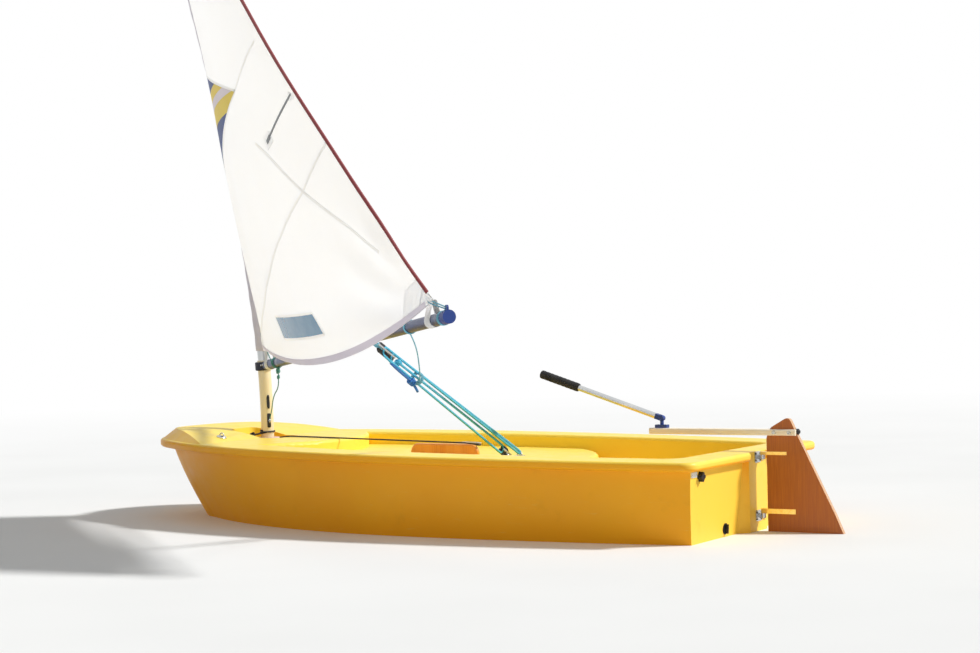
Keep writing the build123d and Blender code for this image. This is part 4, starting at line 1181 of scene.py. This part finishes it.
# Cleat on the mast: a bar with drawn-down ends, on a foot. Its origin is the bar's
CLEAT_AT = 0.107
bar = drum(0.0055, 0.03, 20)
for side in (1, -1):
    pick(bar, "FACE", facing(0, 0, side))
    extrude(0, 0, side * 0.009)
    bpy.ops.transform.resize(value=(0.55, 0.55, 1))
    bpy.ops.transform.translate(value=(0.0035, 0, 0))
round_edges(bar, 0.0012, 20)
bar.location = (0.012, 0, 0)
foot = slab(0.006, 0.0115, 0.034, (0.003, 0, 0))
pick(foot, "FACE", facing(1, 0, 0))
bpy.ops.mesh.inset(thickness=0.002)
extrude(0.005, 0, 0)
round_edges(foot, 0.0008)
cleat = coat(join(bar, foot), black_moulding)
cleat.matrix_world = on_mast(CLEAT_AT, 0.0006)
settle(cleat, "mast_horn_cleat", "rig")
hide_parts("mast_cleat")

# Foam grip on the tiller extension
EXT_TILT = math.radians(18)
EXT_WAY = Vector((-math.cos(EXT_TILT), 0, math.sin(EXT_TILT)))
EXT_FOOT = Vector((0.798, 0, 0.346))
GRIP_START = 0.31
GRIP_LEN = 0.145
GRIP_RIBS = 9
RIB_STEP = 0.0155
grip_profile = [(0.0096, 0.0), (0.0118, 0.0002), (0.0134, 0.003)]
for i in range(GRIP_RIBS):
    at = 0.008 + i * RIB_STEP
    grip_profile += [(0.0138, at), (0.0141, at + 0.006), (0.0134, at + 0.0115)]
grip_profile += [(0.0134, GRIP_LEN - 0.003), (0.0116, GRIP_LEN)]
grip_profile += [(0.004, GRIP_LEN + 0.0004), (0.0, GRIP_LEN + 0.0004)]
grip = coat(turned(grip_profile), foam)
grip.matrix_world = stand(EXT_FOOT + EXT_WAY * GRIP_START, EXT_WAY, STARBOARD)
settle(grip, "extension_foam_grip", "extension", 50)
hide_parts("extension_grip")

# Shock cord from the mast's foot to a loop round the lifting board
board_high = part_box("daggerboard")[1]
board_aft = Vector((board_high.x, 0, board_high.z))
cord_foot = Vector((-0.69, -0.012, 0.2665))
cord_points = near(cord_foot, (0, 0, 0), (0.03, 0, 0.004))
cord_points += run(*near(cord_foot, (0.06, 0, 0.005)), *near(board_aft, (-0.03, -0.014, 0.004)), 10)
cord_points += near(
    board_aft, (0.004, -0.013, -0.002), (0.007, 0, -0.003), (0.002, 0.013, -0.002), (-0.05, 0.014, 0))
board_cord = rope("board_shock_cord", cord_points, 0.0026, shock_cord)
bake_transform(board_cord)
loop_points = run(*near(board_aft, (-0.085, -0.013, 0.006), (0, -0.014, 0.005)), 3)
loop_points += near(board_aft, (0.009, 0, 0.003), (0, 0.014, 0.004), (-0.07, 0.013, 0.005))
rope("board_loop", loop_points, 0.0019, white_cord, "daggerboard")

# Cord that holds the mast down, from the eye in the deck round the mast
hook_top = Vector((HOOK_EYE_X, 0, FOOT_Z + 0.012))
mast_ring = Vector((MAST_X, 0, 0.287))
holding = near(hook_top, (0, 0, 0), (0.006, -0.006, 0.005))
holding += near(mast_ring, (-0.034, -0.026, -0.011), (-0.008, -MAST_R - 0.0045, -0.006))
holding += near(mast_ring, (0.016, -MAST_R - 0.001, -0.002))
holding += wraps(mast_ring, UP, MAST_R + 0.0034, 1.4, 0.006)
holding += near(mast_ring, (-0.03, 0.018, -0.007)) + near(hook_top, (0.01, 0.006, 0.008), (0, 0, 0))
rope("mast_holding_cord", holding, 0.0028, dark_cord, "hull")
knot_spot = hook_top + Vector((0.004, -0.004, 0.006))
knot_way = Vector((1, -0.3, 0.3)).normalized()
knot("mast_holding_knot", knot_spot, knot_way, 0.0055, 0.0032, dark_cord, "hull")


# Screws, rivets and small metal fittings
def screw(radius, height):
    """Screw head with a sunk middle, its foot at the origin and its head along z."""
    head = turned([(0.0, 0.0), (radius, 0.0), (radius, height * 0.35), (radius * 0.86, height * 0.78),
                   (radius * 0.5, height), (0.0, height)], 16)
    pick(head, "FACE", lambda face: face.normal.z > 0.9 and face.calc_center_median().z > height * 0.9)
    bpy.ops.mesh.inset(thickness=radius * 0.12)
    bpy.ops.transform.translate(value=(0, 0, -height * 0.3))
    set_down()
    return head


def dress(name, spots, radius, height, finish, body):
    """Screw heads at places given as point, way out and way across."""
    places = [stand(*spot) for spot in spots]
    settle(coat(copy_at(screw(radius, height), places), finish), name, body)


plate_screws = []
for gudgeon in ("gudgeon_upper", "gudgeon_lower"):
    low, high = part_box(gudgeon)
    for y in (-0.0165, 0.0165):
        for z in (low.z + 0.0065, high.z - 0.0065):
            plate_screws.append((Vector((GUDGEON_FACE, y, z)), AFT, UP))
dress("gudgeon_screws", plate_screws, 0.0036, 0.002, black_moulding, "hull")

strap_rivets = []
for height, spots in ((0.2413, (1.172, 1.212)), (0.0628, (1.172, 1.205, 1.238))):
    for x in spots:
        for side in (-1, 1):
            strap_rivets.append((Vector((x, side * 0.0099, height)), STARBOARD * side, UP))
dress("strap_rivets", strap_rivets, 0.0024, 0.0014, brass, "rudder")

eye_screws = []
for eye in ("hook_eye", "sheet_eye"):
    low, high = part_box(eye)
    for x in (low.x + 0.0045, high.x - 0.0045):
        for y in (-0.0065, 0.0065):
            eye_screws.append((Vector((x, y, low.z + 0.0028)), UP, AFT))
dress("deck_eye_screws", eye_screws, 0.0024, 0.0014, steel, "hull")

low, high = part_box("label_plate")
label_rivets = []
for y in (low.y + 0.004, high.y - 0.004):
    label_rivets.append((Vector((high.x - 0.0006, y, (low.z + high.z) / 2)), AFT, UP))
dress("label_rivets", label_rivets, 0.0016, 0.0012, steel, "hull")

jaw_rivets = []
for along in (0.04, 0.06):
    for side in (-1, 1):
        jaw_rivets.append((on_boom(along, side * (BOOM_R + 0.004), 0.0), BOOM_SIDE * side, UP))
dress("jaw_rivets", jaw_rivets, 0.0032, 0.0018, steel, "rig")

low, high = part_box("joint_base")
base_screws = [(Vector((x, 0, high.z - 0.0004)), UP, AFT) for x in (low.x + 0.006, high.x - 0.006)]
dress("joint_base_screws", base_screws, 0.0032, 0.002, steel, "rudder")

# Nut on the bolt that clamps the tiller's cheeks, aft of the rudder's head
low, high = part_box("tiller")
nut = drum(0.0095, 0.014, 6)
pick(nut, "FACE", facing(0, 0, 1))
bpy.ops.mesh.inset(thickness=0.003)
extrude(0, 0, 0.003)
round_edges(nut, 0.0012)
nut.matrix_world = stand((high.x - 0.001, 0, (low.z + high.z) / 2 + 0.002), AFT, STARBOARD)
settle(coat(nut, black_moulding), "tiller_clamp_nut", "rudder")

# Vent in the foredeck: a turned rim round a dark cup, with a loop over it
VENT = Vector((-0.7727, -0.2385, 0.2793))
VENT_WAY = Vector((0.21, 0, 0.98))
rim = turned([(0.0105, -0.002), (0.017, -0.002), (0.0172, 0.0012), (0.0155, 0.0034), (0.0125, 0.004),
              (0.0108, 0.003), (0.0105, -0.002)], 32)
cup = turned([(0.0, 0.0008), (0.0108, 0.0008), (0.0108, 0.0022), (0.0, 0.0016)], 32)
loop = wire_ring(0.0085, 0.002, (0, 0, 0.006), lean=0.4)
vent = join(coat(rim, steel), coat(cup, black_moulding), coat(loop, steel))
vent.matrix_world = stand(VENT, VENT_WAY, AFT)
settle(vent, "foredeck_vent", "hull")

# Floor of pale paper that fades to white far off
set_down()
bpy.ops.mesh.primitive_plane_add(size=300)
floor = bpy.context.object
floor.name = "studio_floor"
paper, add, shader, place = start_finish("studio_paper")
tint = mottled(add, place, colour("#F1F1EF"), "#EDEDEB", 900, 0.3, 0.7, detail=2)
connect(shader, {"Base Color": tint, "Roughness": 0.95})
away = add("VectorMath", {0: place}, "Value", operation="LENGTH")
far = add("MapRange", {"Value": away, 1: PAPER_NEAR, 2: PAPER_FAR})
fade = add("Math", {0: far, 1: add("LightPath", {}, "Is Camera Ray")}, **TIMES)
white = add("Emission", {"Color": WHITE, "Strength": 1.0})
mixed = add("MixShader", {0: fade, 1: shader.outputs[0], 2: white})
connect(paper.node_tree.nodes["Material Output"], {"Surface": mixed})
coat(floor, paper)

# Pale sky for the light, white for the eye and for mirrors
world = bpy.data.worlds.new("studio")
bpy.context.scene.world = world
world.use_nodes = True
add = functools.partial(add_node, world.node_tree)
sky = world.node_tree.nodes["Background"]
connect(sky, {"Color": SKY_COLOUR, "Strength": SKY_STRENGTH})
white = add("Background", {"Color": WHITE, "Strength": 1.0})
seen = add("LightPath", {}, "Is Camera Ray")
for ray in ("Is Glossy Ray", "Is Transmission Ray"):
    seen = add("Math", {0: seen, 1: add("LightPath", {}, ray)}, operation="MAXIMUM")
mixed = add("MixShader", {0: seen, 1: sky.outputs[0], 2: white})
connect(world.node_tree.nodes["World Output"], {"Surface": mixed})

# Sun and camera
sun_data = bpy.data.lights.new("studio_sun", "SUN")
sun_data.energy = SUN_STRENGTH
sun_data.angle = SUN_ANGLE
sun = bpy.data.objects.new("studio_sun", sun_data)
sun.rotation_euler = SUN_WAY.to_track_quat("Z", "Y").to_euler()
bpy.context.collection.objects.link(sun)

camera_data = bpy.data.cameras.new("photo_camera")
camera_data.sensor_width = SENSOR_W
camera_data.lens = CAMERA_FOCAL_PX / PHOTO_W * SENSOR_W
camera = bpy.data.objects.new("photo_camera", camera_data)
camera.matrix_world = stand(CAMERA_PLACE, -CAMERA_AIM, CAMERA_AIM.cross(CAMERA_UP))
bpy.context.collection.objects.link(camera)
bpy.context.scene.camera = camera
bpy.context.scene.view_settings.view_transform = "Standard"
